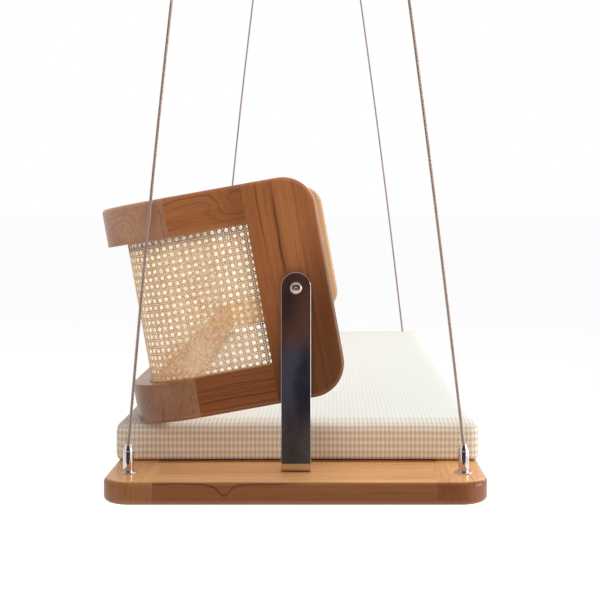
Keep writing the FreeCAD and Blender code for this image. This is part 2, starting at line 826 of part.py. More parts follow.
side_y = rope_y - size("arm_thickness") - size("pivot_gap")
tilt_rise = math.sin(math.radians(BACKREST_TILT))
tilt_run = math.cos(math.radians(BACKREST_TILT))
cushion_top = size("cushion_side_height") + size("cushion_crown")
corner_drop = size("rail_round") + (size("back_reach") - size("rail_round")) * tilt_rise
room_below = pivot_height - cushion_top - size("backrest_rest_gap") - corner_drop
half_height = room_below / tilt_run + size("rail_round")
print(f"backrest height {float(half_height) * 2:.2f} mm, from the pivot down to the cushion")
window_half = half_height - size("rail_height")
joint_x = -size("back_reach") + size("rail_bend_radius") + size("corner_block_straight")
joint_y = side_y - size("rail_bend_radius")


def u_shape(name, front, outer, inner, low, height):
    """A strip bent in plan round the two ends and the back.

    outer and inner are each (reach to the back, half length, bend radius).
    """
    back_out, side_out, radius_out = outer
    back_in, side_in, radius_in = inner
    corners = [(front, -side_out), (-back_out, -side_out), (-back_out, side_out), (front, side_out),
               (front, side_in), (-back_in, side_in), (-back_in, -side_in), (front, -side_in)]
    body = padded_body(name, "XY_Plane", corners, height)
    round_edges(body, name + "OuterBends", radius_out,
                lambda edge: lies_at(edge, "X", -back_out) and edge.BoundBox.ZLength > TINY)
    round_edges(body, name + "InnerBends", radius_in,
                lambda edge: lies_at(edge, "X", -back_in) and edge.BoundBox.ZLength > TINY)
    put(body, NOUGHT, NOUGHT, low)
    return body


cane_outer = (size("back_reach") - size("cane_back_inset"), side_y - size("cane_side_inset"),
              size("cane_bend_radius"))
cane_inner = tuple(length - size("cane_thickness") for length in cane_outer)
spline_outer = tuple(length + size("spline_width") for length in cane_outer)


def grooves():
    """The grooves that take the cane and its splines in the rails, and the cane in the posts."""
    front = -size("post_back_reach")
    depth = size("cane_groove_depth")
    upper = u_shape("UpperGroove", front, spline_outer, cane_inner, window_half, depth)
    lower = u_shape("LowerGroove", front, spline_outer, cane_inner, -window_half - depth, depth)
    tools = [upper, lower]
    for end, y_sign in ENDS.items():
        y = (side_y - size("cane_side_inset")) * y_sign
        if y_sign > 0:
            y = y - size("cane_thickness")
        tools.append(box(f"PostGroove{end}", depth, size("cane_thickness"), window_half * 2 + depth * 2,
                         front, y, -window_half - depth))
    return group("Grooves", tools)


def rail_ring(name, low, rounded_at, sharp_at):
    """The whole bent rail, before it is cut into its segments."""
    outer = (size("back_reach"), side_y, size("rail_bend_radius"))
    inner = (size("back_reach") - size("back_rail_width"), side_y - size("post_thickness"),
             size("rail_inner_radius"))
    body = u_shape(name, -size("post_back_reach"), outer, inner, low, size("rail_height"))
    front = -size("post_back_reach")
    round_edges(body, name + "Rounded", size("rail_round"),
                lambda edge: edge.BoundBox.ZLength < TINY and lies_at(edge, "Z", rounded_at)
                and not lies_at(edge, "X", front))
    round_edges(body, name + "Eased", size("rail_small_round"),
                lambda edge: edge.BoundBox.ZLength < TINY and lies_at(edge, "Z", sharp_at)
                and not lies_at(edge, "X", front))
    return body


def joint_dowels():
    """Two dowels across each joint of the rails, one over the other."""
    dowels = []
    length = size("rail_dowel_length")
    middle = side_y - size("post_thickness") / 2
    back_middle = -size("back_reach") + size("back_rail_width") / 2
    for level in (-1, 1):
        rail_z = (half_height - size("rail_height") / 2) * level
        for step in (-1, 1):
            z = rail_z + size("rail_dowel_spacing") / 2 * step
            for end, y_sign in ENDS.items():
                mark = f"{level + 1}{step + 1}{end}"
                for place, x in (("Post", -size("post_back_reach")), ("Rail", joint_x)):
                    dowels.append(rod(f"{place}Dowel{mark}", size("rail_dowel_diameter"), length,
                                      x - length / 2, middle * y_sign, z, ALONG_X))
                dowels.append(rod(f"BackDowel{mark}", size("rail_dowel_diameter"), length,
                                  back_middle, joint_y * y_sign - length / 2, z, ALONG_Y))
    return dowels


cane_grooves = grooves()
dowels = group("RailDowelTools", joint_dowels())


def rail_segments(level, ring_body, low):
    """The bent rail's five segments: two side rails, two corner blocks and the back rail."""
    cut_ring = cut(f"Grooved{level}", ring_body, cane_grooves)
    drilled = cut(f"Drilled{level}", cut_ring, dowels)
    height = size("rail_height")
    width = size("post_thickness")
    for end, y_sign in ENDS.items():
        side_low = side_y * y_sign if y_sign < 0 else side_y - width
        side_tool = box(f"SideTool{level}{end}", -size("post_back_reach") - joint_x, width, height,
                        joint_x, side_low, low)
        on_backrest(common(f"SideRail{level}{end}", drilled, side_tool), f"backrest_side_{level}_{end}")
        bend = size("rail_bend_radius")
        corner_low = -side_y if y_sign < 0 else joint_y
        corner_tool = box(f"CornerTool{level}{end}", bend + size("corner_block_straight"), bend,
                          height, -size("back_reach"), corner_low, low)
        on_backrest(common(f"Corner{level}{end}", drilled, corner_tool),
                    f"backrest_corner_{level}_{end}")
    back_tool = box(f"BackTool{level}", size("back_rail_width"), joint_y * 2, height,
                    -size("back_reach"), -joint_y, low)
    on_backrest(common(f"BackRail{level}", drilled, back_tool), f"backrest_rail_{level}")


rail_segments("top", rail_ring("TopRing", window_half, size("rail_height"), NOUGHT), window_half)
rail_segments("bottom", rail_ring("BottomRing", -half_height, NOUGHT, size("rail_height")), -half_height)
on_backrest(group("RailDowels", joint_dowels()), "rail_dowels")


# End posts, each with a threaded insert for its pivot bolt

def post_insert(name, end, y_sign, bored):
    """The insert in the post's outer face, solid as a tool or with the bolt's thread bore."""
    face = size("arm_thickness") + size("pivot_gap")
    reach = face + size("insert_length")
    radius = size("insert_diameter") / 2
    bore = size("bolt_diameter") / 2 if bored else NOUGHT
    profile = [(bore, face), (radius, face), (radius, reach), (bore, reach)]
    body = turned_body(name + end, profile)
    return put(body, NOUGHT, rope_y * y_sign, NOUGHT, inward(y_sign))


def post(end, y_sign):
    """A flat post with big front corners, rounded where hands touch it."""
    front = size("post_front_reach")
    back = -size("post_back_reach")
    corners = [(back, -half_height), (front, -half_height), (front, half_height), (back, half_height)]
    body = padded_body(f"PostBar{end}", "XZ_Plane", corners, size("post_thickness"), symmetric=True)
    round_edges(body, f"PostCorners{end}", size("post_corner_radius"),
                lambda edge: lies_at(edge, "X", front) and edge.BoundBox.YLength > TINY)
    round_edges(body, f"PostEdges{end}", size("rail_round"),
                lambda edge: edge.BoundBox.YLength < TINY and not lies_at(edge, "X", back))
    put(body, NOUGHT, (side_y - size("post_thickness") / 2) * y_sign, NOUGHT)
    tool = post_insert("InsertTool", end, y_sign, False)
    plain = cut(f"PostGrooved{end}", body, cane_grooves)
    drilled = cut(f"PostDrilled{end}", plain, dowels)
    on_backrest(cut(f"Post{end}", drilled, tool), f"backrest_post_{end}")


for end, y_sign in ENDS.items():
    post(end, y_sign)
on_backrest(group("Inserts", [post_insert("Insert", end, y_sign, True) for end, y_sign in ENDS.items()]),
            "pivot_inserts")


# Cane sheet and its splines

def bent_strip(label, front, outer, inner, low, height):
    """A finished piece that is bent like the rails, in the backrest's frame."""
    strip = u_shape(label + "_strip", front, outer, inner, low, height)
    on_backrest(group(label, [strip]), label)


def cane_openings():
    """A plain grid of openings through the woven sheet, in rows along its back and its ends."""
    openings = []
    wall = size("cane_thickness")
    back_length = (cane_outer[1] - cane_outer[2]) * 2
    row_pitch = window_half * 2 / CANE_ROWS
    column_pitch = back_length / CANE_BACK_COLUMNS
    end_length = cane_outer[0] - cane_outer[2] - size("post_back_reach")
    height = row_pitch * CANE_OPENING_SHARE
    width = column_pitch * CANE_OPENING_SHARE
    end_width = end_length * CANE_OPENING_SHARE
    for row in range(CANE_ROWS):
        z = -window_half + row_pitch * (row + HALF_SHARE) - height / 2
        for column in range(CANE_BACK_COLUMNS):
            y = -back_length / 2 + column_pitch * (column + HALF_SHARE) - width / 2
            openings.append(box(f"BackOpening{row}{column}", wall * 3, width, height,
                                -cane_outer[0] - wall, y, z))
        x = -size("post_back_reach") - (end_length + end_width) / 2
        for end, y_sign in ENDS.items():
            y = -cane_outer[1] - wall if y_sign < 0 else cane_outer[1] - wall * 2
            openings.append(box(f"EndOpening{row}{end}", end_width, wall * 3, height, x, y, z))
    return group("CaneOpenings", openings)


cane_front = -size("post_back_reach") + size("cane_groove_depth")
cane_low = -window_half - size("cane_groove_depth")
cane_strip = u_shape("CaneStrip", cane_front, cane_outer, cane_inner, cane_low, -cane_low * 2)
on_backrest(cut("CaneOpened", cane_strip, cane_openings()), "cane_sheet")
bent_strip("cane_spline_top", -size("post_back_reach"), spline_outer, cane_outer,
           window_half - size("top_spline_proud"), size("top_spline_proud") + size("spline_sunk"))
bent_strip("cane_spline_bottom", -size("post_back_reach"), spline_outer, cane_outer,
           -window_half - size("spline_sunk"), size("spline_proud") + size("spline_sunk"))


# Pivot bolts and spacer washers turn with the backrest

def pivot_bolt(end, y_sign):
    """A domed bolt, its profile measured from the arm's outer face towards the post."""
    gap = size("pivot_side_gap")
    radius = size("bolt_diameter") / 2
    head = size("bolt_head_diameter") / 2
    height = size("bolt_head_height")
    rim = height * BOLT_RIM_SHARE
    profile = [(NOUGHT, -gap - height), (head * DOME_SHARE, -gap - height * DOME_RISE_SHARE),
               (head, -gap - rim), (head, -gap), (radius, -gap),
               (radius, size("bolt_length")), (NOUGHT, size("bolt_length"))]
    body = turned_body(f"Bolt{end}", profile)
    put(body, NOUGHT, rope_y * y_sign, NOUGHT, inward(y_sign))
    socket = doc.addObject("Part::Prism", f"BoltSocket{end}")
    socket.Polygon = 6
    bind(socket, "Circumradius", size("bolt_socket_across") / 2)
    bind(socket, "Height", size("bolt_socket_depth"))
    put(socket, NOUGHT, (rope_y + gap + height) * y_sign, NOUGHT, inward(y_sign))
    on_backrest(cut(f"PivotBolt{end}", body, socket), f"pivot_bolt_{end}")


BOLT_RIM_SHARE = 0.35
DOME_SHARE = 0.62
DOME_RISE_SHARE = 0.84
for end, y_sign in ENDS.items():
    pivot_bolt(end, y_sign)


def spacer(end, y_sign):
    """A washer between the bush's flange and the post."""
    start = size("arm_thickness") + size("bush_flange_thickness") + size("pivot_side_gap")
    stop = size("arm_thickness") + size("pivot_gap")
    inner = size("bolt_diameter") / 2
    outer = size("bush_flange_diameter") / 2
    body = turned_body(f"Spacer{end}", [(inner, start), (outer, start), (outer, stop), (inner, stop)])
    return put(body, NOUGHT, rope_y * y_sign, NOUGHT, inward(y_sign))


on_backrest(group("Spacers", [spacer(end, y_sign) for end, y_sign in ENDS.items()]), "pivot_washers")


# Check every object and write each sub-part

doc.recompute()
for thing in doc.Objects:
    if "Invalid" in thing.State or "Error" in thing.State:
        raise RuntimeError(f"{thing.Name} failed: {thing.State}")
os.makedirs("parts", exist_ok=True)
for thing in NODES:
    shape = thing.Shape
    if shape.isNull() or not shape.isValid() or not shape.Solids:
        raise RuntimeError(f"{thing.Label} has no valid solid")
for thing in NODES:
    thing.Shape.exportStep(os.path.join("parts", thing.Label + ".step"))
low = min(thing.Shape.BoundBox.ZMin for thing in NODES)
print(f"{len(NODES)} sub-parts, {sum(len(thing.Shape.Solids) for thing in NODES)} solids, lowest {low:.1f}")
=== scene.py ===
# %% [markdown]
# # A jhoola swing, dressed for its picture
# This notebook puts looks on a swing seat that is already built as a fixed frame of solids.
# The real thing is a timber bench on four wire ropes, with a loose cushion and a timber and
# cane backrest that turns over the top between two polished steel arms. The solids say where
# everything is, in metres, so each step below only adds a surface or a finish in that place.

# %% Load the frame
import math

import bmesh
import bpy
import numpy as np
from mathutils import Euler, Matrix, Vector


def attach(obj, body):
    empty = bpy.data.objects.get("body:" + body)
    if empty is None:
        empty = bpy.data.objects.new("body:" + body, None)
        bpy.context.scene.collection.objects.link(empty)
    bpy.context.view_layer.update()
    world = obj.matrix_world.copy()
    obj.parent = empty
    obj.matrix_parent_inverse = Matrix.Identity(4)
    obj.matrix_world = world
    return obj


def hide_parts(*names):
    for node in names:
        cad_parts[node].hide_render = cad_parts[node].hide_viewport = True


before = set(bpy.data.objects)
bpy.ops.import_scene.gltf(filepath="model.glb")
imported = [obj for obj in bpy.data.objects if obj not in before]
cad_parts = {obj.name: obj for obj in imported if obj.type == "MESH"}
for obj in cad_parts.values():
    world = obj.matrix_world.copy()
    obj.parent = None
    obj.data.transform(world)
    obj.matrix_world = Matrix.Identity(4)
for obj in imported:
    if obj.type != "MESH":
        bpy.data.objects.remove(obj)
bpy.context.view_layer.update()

# %% [markdown]
# ## The camera
# The photographer stood at the end of the bench, a little over two metres from its near end,
# and held the camera level. Verticals stay vertical in such a picture, and the bench is kept
# low in the frame with the lens shift of a view camera. A tilted camera would frame it too,
# but then the ropes would lean together, so the shift is the right tool.

# %% Stand the camera
CAMERA_PLACE = (0.07008, -2.84231, -0.74852)
PHOTO_SIDE = 600
FOCAL_PIXELS = 1156.3
LOOKS_AT_PIXEL = (328.86, 199.97)
SENSOR_WIDTH = 36.0
LEVEL_ALONG_Y = (math.pi / 2, 0.0, 0.0)

lens = bpy.data.cameras.new("end_view")
lens.sensor_width = SENSOR_WIDTH
lens.lens = FOCAL_PIXELS / PHOTO_SIDE * SENSOR_WIDTH
lens.shift_x = (PHOTO_SIDE / 2 - LOOKS_AT_PIXEL[0]) / PHOTO_SIDE
lens.shift_y = (LOOKS_AT_PIXEL[1] - PHOTO_SIDE / 2) / PHOTO_SIDE
camera = bpy.data.objects.new("end_view", lens)
bpy.context.scene.collection.objects.link(camera)
camera.location = CAMERA_PLACE
camera.rotation_euler = LEVEL_ALONG_Y
bpy.context.scene.camera = camera
print(f"lens {lens.lens:.1f} mm, shifts {lens.shift_x:.3f} and {lens.shift_y:.3f}")

# %% [markdown]
# ## Small helpers for meshes
# Every new piece below is a surface on a grid of points, worked out as whole arrays. These
# helpers number the faces of such a grid, put the arrays into a mesh, and let the piece ride
# on its body. Modelling by hand would give the same shapes, but a formula can be read and
# changed, and it puts each point exactly where the solids say.

# %% Grids, pieces and places
SEAT_MIDDLE_X = 0.0128
SEAT_TOP = -1.223
ROPE_Y = 0.828
PIVOT = np.array([0.0128, 0.0, -0.902])
BACKREST_LEAN = math.radians(-10.2)
ENDS = {"right": -1, "left": 1}
SIDES = {"back": -1, "front": 1}
TINY = 1e-9
WELD_GAP = 2e-6


def grid_faces(rows, columns, wrap_columns=False, start=0):
    """Quads of a grid of points numbered row by row; a wrapped grid joins its last column
    to its first."""
    steps = columns if wrap_columns else columns - 1
    r, c = np.meshgrid(np.arange(rows - 1), np.arange(steps), indexing="ij")
    n = (c + 1) % columns
    quads = np.stack([r * columns + c, r * columns + n, (r + 1) * columns + n, (r + 1) * columns + c])
    return quads.reshape(4, -1).T + start


def welded(mesh, distance):
    """Makes points nearer than the distance one, which closes poles and seams, and then turns
    the faces outwards."""
    work = bmesh.new()
    work.from_mesh(mesh)
    bmesh.ops.remove_doubles(work, verts=work.verts, dist=distance)
    bmesh.ops.dissolve_degenerate(work, edges=work.edges, dist=distance)
    bmesh.ops.recalc_face_normals(work, faces=work.faces)
    work.to_mesh(mesh)
    work.free()


def linked(name, data):
    """A new object in the scene."""
    made = bpy.data.objects.new(name, data)
    bpy.context.scene.collection.objects.link(made)
    return made


def new_piece(name, points, faces, body, stands_for=(), smooth=True, weld=None):
    """A mesh piece at the origin from an array of points and arrays of faces, on its body."""
    mesh = bpy.data.meshes.new(name)
    lists = [face for array in faces for face in np.asarray(array).tolist()]
    mesh.from_pydata(np.asarray(points, float).reshape(-1, 3).tolist(), [], lists)
    if weld is not None:
        welded(mesh, weld)
    mesh.polygons.foreach_set("use_smooth", np.full(len(mesh.polygons), smooth))
    mesh.update()
    piece = linked(name, mesh)
    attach(piece, body)
    if stands_for:
        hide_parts(*stands_for)
    triangles = sum(len(p.vertices) - 2 for p in mesh.polygons)
    print(f"{name}: {len(mesh.vertices)} points, {triangles} triangles")
    return piece


def read_points(mesh):
    """The mesh's points as an array."""
    flat = np.zeros(len(mesh.vertices) * 3)
    mesh.vertices.foreach_get("co", flat)
    return flat.reshape(-1, 3)


def from_backrest(u, v, w):
    """Points of the backrest's own frame (u to the front, v along the bench, w up, zero at
    the pivot) turned by its lean about the pivot's axis: x = u cos a + w sin a,
    z = w cos a - u sin a."""
    a = BACKREST_LEAN
    x = u * math.cos(a) + w * math.sin(a)
    z = w * math.cos(a) - u * math.sin(a)
    x, y, z = np.broadcast_arrays(x, v, z)
    return np.stack([x, y, z], axis=-1) + PIVOT


print("pivot axis at x, z =", PIVOT[0], PIVOT[2])

# %% [markdown]
# ## The wire ropes
# Each rope is 5.5 mm steel wire rope, pulled straight by the weight of the bench, with a sag
# of a few millimetres that shows as a gentle bow. A plain tube with a striped bump would do
# from afar, but close up the strands are what one sees. So the line of each rope is a smooth
# curve through a short route, and six strands are wound round it as real geometry:
# a strand's centre is P(s) + R (N cos t + B sin t), with t growing by one turn per lay length.

# %% Routes of the ropes
ROPE_DIAMETER = 0.0055
ROPE_SAG = {"back": -0.0058, "front": 0.0042}
ROPE_FOOT = {"back": (-0.2792, -1.175), "front": (0.3048, -1.175)}
ROPE_EYE = {"back": (-0.16205, -0.0417), "front": (0.16095, -0.0414)}
BELOW_MOUTH = 0.0009
BELOW_EYE = 0.029
ROUTE_SHARES = (0.0, 0.2, 0.4, 0.6, 0.8, 1.0)
ROUTE_STEPS = 24


def rope_route(side, y):
    """Six points from the ferrule's socket to the eye terminal, bowed by a parabola
    4 sag t (1 - t)."""
    foot, eye = (np.array(place[side]) for place in (ROPE_FOOT, ROPE_EYE))
    way = (eye - foot) / np.linalg.norm(eye - foot)
    start, stop = foot - way * BELOW_MOUTH, eye - way * BELOW_EYE
    t = np.array(ROUTE_SHARES)
    across = np.array([way[1], -way[0]])
    line = start + np.outer(t, stop - start) + np.outer(4 * ROPE_SAG[side] * t * (1 - t), across)
    return np.column_stack([line[:, 0], np.full(len(t), y), line[:, 1]])


def smooth_line(route):
    """The route's NURBS spline as an array of points, read back from a curve with no bevel."""
    curve = bpy.data.curves.new("route", "CURVE")
    curve.dimensions = "3D"
    spline = curve.splines.new("NURBS")
    spline.points.add(len(route) - 1)
    spline.points.foreach_set("co", np.column_stack([route, np.ones(len(route))]).ravel())
    spline.order_u = 3
    spline.use_endpoint_u = True
    spline.resolution_u = ROUTE_STEPS
    holder = linked("route", curve)
    bpy.context.view_layer.update()
    read = bpy.data.meshes.new_from_object(holder)
    line = read_points(read)
    bpy.data.objects.remove(holder)
    bpy.data.meshes.remove(read)
    return line


def even_steps(line, step):
    """The same line with points every step along it, by linear interpolation of arc length."""
    run = np.concatenate([[0.0], np.cumsum(np.linalg.norm(np.diff(line, axis=0), axis=1))])
    at = np.linspace(0, run[-1], int(round(run[-1] / step)) + 1)
    return np.column_stack([np.interp(at, run, line[:, k]) for k in range(3)]), at


def length_of_line(line):
    return float(np.linalg.norm(np.diff(line, axis=0), axis=1).sum())


rope_lines = {(side, end): smooth_line(rope_route(side, ROPE_Y * y_sign))
              for side in SIDES for end, y_sign in ENDS.items()}
for (side, end), line in rope_lines.items():
    print(f"rope {side} {end}: {length_of_line(line) * 1000:.1f} mm of rope")

# %% Wind the strands
STRANDS = 6
STRAND_RADIUS = 0.00094
STRAND_ORBIT = ROPE_DIAMETER / 2 - STRAND_RADIUS
LAY_LENGTH = 0.042
RING_STEP = 0.0032
STRAND_SIDES = 6


def tube(centres, first, second, radius, sides, start):
    """A closed tube: rings c + r (e1 cos a + e2 sin a) along the centres, and its end faces."""
    a = np.arange(sides) * 2 * math.pi / sides
    ring = first[:, None] * np.cos(a)[:, None] + second[:, None] * np.sin(a)[:, None]
    points = centres[:, None] + radius * ring
    count = len(centres) * sides
    ends = [np.arange(sides)[::-1][None] + start, (np.arange(sides) + count - sides)[None] + start]
    return points.reshape(-1, 3), [grid_faces(len(centres), sides, True, start), *ends]


def wind_rope(name, line, body, stands_for):
    """Six strands wound round a core along the line, which lies in a plane of constant y."""
    centres, run = even_steps(line, RING_STEP)
    way = np.gradient(centres, axis=0)
    way /= np.linalg.norm(way, axis=1)[:, None]
    side = np.tile([0.0, 1.0, 0.0], (len(centres), 1))
    up = np.cross(way, side)
    points, faces, start = [], [], 0
    core, core_faces = tube(centres, side, up, STRAND_ORBIT, STRAND_SIDES, 0)
    points.append(core)
    faces += core_faces
    for strand in range(STRANDS):
        start += len(points[-1])
        t = (2 * math.pi * (run / LAY_LENGTH + strand / STRANDS))[:, None]
        radial = side * np.cos(t) + up * np.sin(t)
        lean = (2 * math.pi * STRAND_ORBIT / LAY_LENGTH) * (up * np.cos(t) - side * np.sin(t))
        across = np.cross(way + lean, radial)
        across /= np.linalg.norm(across, axis=1)[:, None]
        made, made_faces = tube(centres + STRAND_ORBIT * radial, radial, across,
                                STRAND_RADIUS, STRAND_SIDES, start)
        points.append(made)
        faces += made_faces
    return new_piece(name, np.concatenate(points), faces, body, stands_for)


ropes = []
for (side, end), line in rope_lines.items():
    rope = wind_rope(f"wire_rope_{side}_{end}", line, f"{side}_ropes",
                     [f"rope_{side}_{end}"])
    ropes.append(rope)

# %% [markdown]
# ## The cane
# The backrest is filled with woven cane, the kind sold by the metre with half-inch openings.
# Two strands run up and two run along at every half inch, and single strands cross them both
# ways on the slant, so that eight-sided holes are left. A picture of cane on a plane has no
# holes, and transparent ones have no thickness, so each strand here is a thin ribbon that
# goes over and under the others. The sheet is bent round the ends like the rails, so a ribbon
# is drawn on a flat sheet (s along it, w up it) and then wrapped round the bends.

# %% Wrap a flat sheet round the backrest
CANE_FRONT = -0.059
CANE_REACH = 0.2932
CANE_SIDE = 0.8072
CANE_BEND = 0.0912
CANE_STRAIGHT = CANE_REACH - CANE_BEND + CANE_FRONT
CANE_BACK = 2 * (CANE_SIDE - CANE_BEND)
CANE_LENGTH = 2 * CANE_STRAIGHT + math.pi * CANE_BEND + CANE_BACK


def wrapped(s, w, out):
    """A point s along the bent sheet, w up it and out from it.

    The plan is a sum of clipped pieces: straight, quarter turn, straight, quarter turn,
    straight. A quarter turn of radius R adds R sin a and R (1 - cos a). The heading is the
    sum of both turns, and the outward direction is (-sin h, -cos h).
    """
    quarter = math.pi / 2 * CANE_BEND
    t1 = np.clip(s, None, CANE_STRAIGHT)
    a1 = np.clip((s - CANE_STRAIGHT) / CANE_BEND, 0, math.pi / 2)
    t2 = np.clip(s - CANE_STRAIGHT - quarter, 0, CANE_BACK)
    a2 = np.clip((s - CANE_STRAIGHT - quarter - CANE_BACK) / CANE_BEND, 0, math.pi / 2)
    t3 = np.clip(s - CANE_STRAIGHT - 2 * quarter - CANE_BACK, 0, None)
    h = a1 + a2
    u = CANE_FRONT - t1 - CANE_BEND * np.sin(a1) + CANE_BEND * (1 - np.cos(a2)) + t3
    v = -CANE_SIDE + CANE_BEND * (1 - np.cos(a1)) + t2 + CANE_BEND * np.sin(a2)
    return from_backrest(u - out * np.sin(h), v - out * np.cos(h), w)


print(f"the cane sheet is {CANE_LENGTH * 1000:.0f} mm long before it is bent")

# %% Ribbons of cane
PITCH = 0.0127
PAIR_HALF = 0.00172
RIBBON_WIDTH = 0.0021
SLANT_WIDTH = 0.0020
RIBBON_THICK = 0.00055
CANE_HALF_HEIGHT = 0.1310
LIFT = 0.00028
SLANT_LIFT = 0.00042
FLAT_FACE = 2
ROWS_UP = 10


def ribbons(s, w, out, across_s, across_w, width, keep):
    """Ribbons of three-sided section along rows of flat points (s, w, out).

    The across direction is a unit vector on the flat sheet. keep says which steps between
    neighbouring points are cane; where a kept run starts or stops, an end face closes it.
    """
    half = width / 2
    left = wrapped(s + across_s * half, w + across_w * half, out - RIBBON_THICK / 2)
    right = wrapped(s - across_s * half, w - across_w * half, out - RIBBON_THICK / 2)
    ridge = wrapped(s, w, out + RIBBON_THICK / 2)
    points = np.stack([left, ridge, right], axis=2)
    rows, steps = s.shape
    number = np.arange(rows * steps * 3).reshape(rows, steps, 3)
    low, high = number[:, :-1], number[:, 1:]
    sides = [np.stack([low[..., k], low[..., k - 2], high[..., k - 2], high[..., k]], -1)[keep]
             for k in range(3)]
    edge = np.zeros((rows, 1), bool)
    before = np.concatenate([edge, keep], axis=1)
    after = np.concatenate([keep, edge], axis=1)
    starts, stops = number[after & ~before][:, ::-1], number[before & ~after]
    return points.reshape(-1, 3), sides, [starts, stops]


def used_only(points, faces):
    """Drops the points that no face uses and renumbers the faces."""
    used = np.zeros(len(points), bool)
    for array in faces:
        used[array.ravel()] = True
    number = np.cumsum(used) - 1
    return points[used], [number[array] for array in faces]


def cane_part(start, stop):
    """The four families of strands between two places along the sheet."""
    batches = []
    columns = np.arange(math.ceil(start / PITCH), math.ceil(stop / PITCH))
    rows = np.arange(-ROWS_UP, ROWS_UP + 1)
    half_steps = np.arange(-2 * ROWS_UP, 2 * ROWS_UP + 1)
    level = np.clip(half_steps * PITCH / 2, -CANE_HALF_HEIGHT, CANE_HALF_HEIGHT)
    for pair in (-1, 1):
        s, w = np.meshgrid(columns * PITCH + pair * PAIR_HALF, level, indexing="ij")
        over = np.cos(math.pi * half_steps / 2)[None] * (-1.0) ** columns[:, None] * pair
        batches.append(ribbons(s, w, LIFT * over, 1.0, 0.0, RIBBON_WIDTH,
                               np.ones_like(s[:, 1:], bool)))
    along = np.arange(math.floor(start / PITCH * 2), math.ceil(stop / PITCH * 2) + 1)
    s_line = np.clip(along * PITCH / 2, start, stop)
    for pair in (-1, 1):
        w, s = np.meshgrid(rows * PITCH + pair * PAIR_HALF, s_line, indexing="ij")
        over = -np.cos(math.pi * along / 2)[None] * (-1.0) ** rows[:, None] * pair
        keep = (np.diff(s_line) > TINY) & (np.abs(w[:, 1:]) < CANE_HALF_HEIGHT)
        batches.append(ribbons(s, w, LIFT * over, 0.0, 1.0, RIBBON_WIDTH, keep))
    quarters = np.arange(-4 * ROWS_UP, 4 * ROWS_UP + 1)
    for slope in (-1, 1):
        reach = int(CANE_HALF_HEIGHT / PITCH) + 2
        lines = np.arange(math.floor(start / PITCH) - reach, math.ceil(stop / PITCH) + reach) + 0.5
        s, w = np.meshgrid(lines * PITCH, quarters * PITCH / 4, indexing="ij")
        s += slope * w
        over = slope * np.cos(2 * math.pi * s / PITCH)
        inside = (s >= start - TINY) & (s <= stop + TINY) & (np.abs(w) <= CANE_HALF_HEIGHT)
        root = math.sqrt(0.5)
        batches.append(ribbons(s, w, SLANT_LIFT * over, root, -slope * root, SLANT_WIDTH,
                               inside[:, 1:] & inside[:, :-1]))
    points, faces, pith, count = [], [], [], 0
    for made, sides, ends in batches:
        points.append(made)
        for number, array in enumerate([*sides, *ends]):
            faces.append(array + count)
            pith.append(np.full(len(array), 1.0 if number == FLAT_FACE else 0.0))
        count += len(made)
    points, faces = used_only(np.concatenate(points), faces)
    return points, faces, np.concatenate(pith)


bend_stop = CANE_STRAIGHT + math.pi / 2 * CANE_BEND
cane_cuts = np.round(np.array([0.0, bend_stop, CANE_LENGTH / 2, CANE_LENGTH - bend_stop, CANE_LENGTH])
                     / PITCH * 4) * PITCH / 4
cane_names = ("cane_right_end", "cane_back_right", "cane_back_left", "cane_left_end")
cane_pieces = []
for name, start, stop in zip(cane_names, cane_cuts[:-1], cane_cuts[1:]):
    points, faces, pith = cane_part(start, min(stop, CANE_LENGTH))
    woven = new_piece(name, points, faces, "backrest", ["cane_sheet"], smooth=False)
    woven.data.attributes.new("pith", "FLOAT", "FACE").data.foreach_set("value", pith)
    cane_pieces.append(woven)

# %% [markdown]
# ## The reed
# Where the cane goes into its groove in the lower rail, a thin reed is tapped in over it and
# stands a few millimetres proud. It is a half-round strip, so its section is a half circle
# pulled up on straight sides, carried along the same bent line as the cane. The upper reed
# lies almost flush, so the same strip is made there with hardly any height.

# %% Lay the reeds
REED_WIDTH = 0.0040
REED_OUT = 0.0008 + REED_WIDTH / 2
WINDOW_HALF = 0.12603
REED_SUNK = 0.0030
REED_PROUD = {"bottom": 0.0035, "top": 0.0004}
REED_PAST_END = 0.006
ARCH_STEPS = 9


def lay_reed(level):
    """Sections across the strip: foot, arch (x = -cos a, height = sin a), foot, at each step
    along the bent line."""
    proud = REED_PROUD[level]
    rise = min(REED_WIDTH / 2, proud)
    a = np.linspace(0, math.pi, ARCH_STEPS)
    across = np.concatenate([[-1.0], -np.cos(a), [1.0]]) * REED_WIDTH / 2
    height = np.concatenate([[-REED_SUNK], proud - rise + rise * np.sin(a), [-REED_SUNK]])
    bend = np.linspace(CANE_STRAIGHT, bend_stop, 25)
    whole = np.linspace(-REED_PAST_END, CANE_LENGTH + REED_PAST_END, 60)
    s = np.unique(np.concatenate([whole, bend, CANE_LENGTH - bend]))
    up = -1.0 if level == "top" else 1.0
    w = up * (height - WINDOW_HALF)
    points = wrapped(s[:, None], w[None], across[None] + REED_OUT)
    count, section = len(s), len(across)
    ends = [np.arange(section)[None], (np.arange(section) + (count - 1) * section)[None]]
    return new_piece(f"reed_{level}", points, [grid_faces(count, section, True), *ends],
                     "backrest", [f"cane_spline_{level}"], weld=WELD_GAP)


reeds = [lay_reed(level) for level in REED_PROUD]

# %% [markdown]
# ## Turned metal
# Ferrules, washers and pivot bolts are turned on a lathe or cold formed, so each is a profile
# spun about an axis: (r cos a, r sin a, height). The solids have these shapes already, with
# flat facets and sharp corners. Polished metal shows every facet in its reflections, so these
# pieces are spun again with a fine step and with small rounds at the corners, where a real
# one catches the light.

# %% Spin a profile
SPIN_STEPS = 64


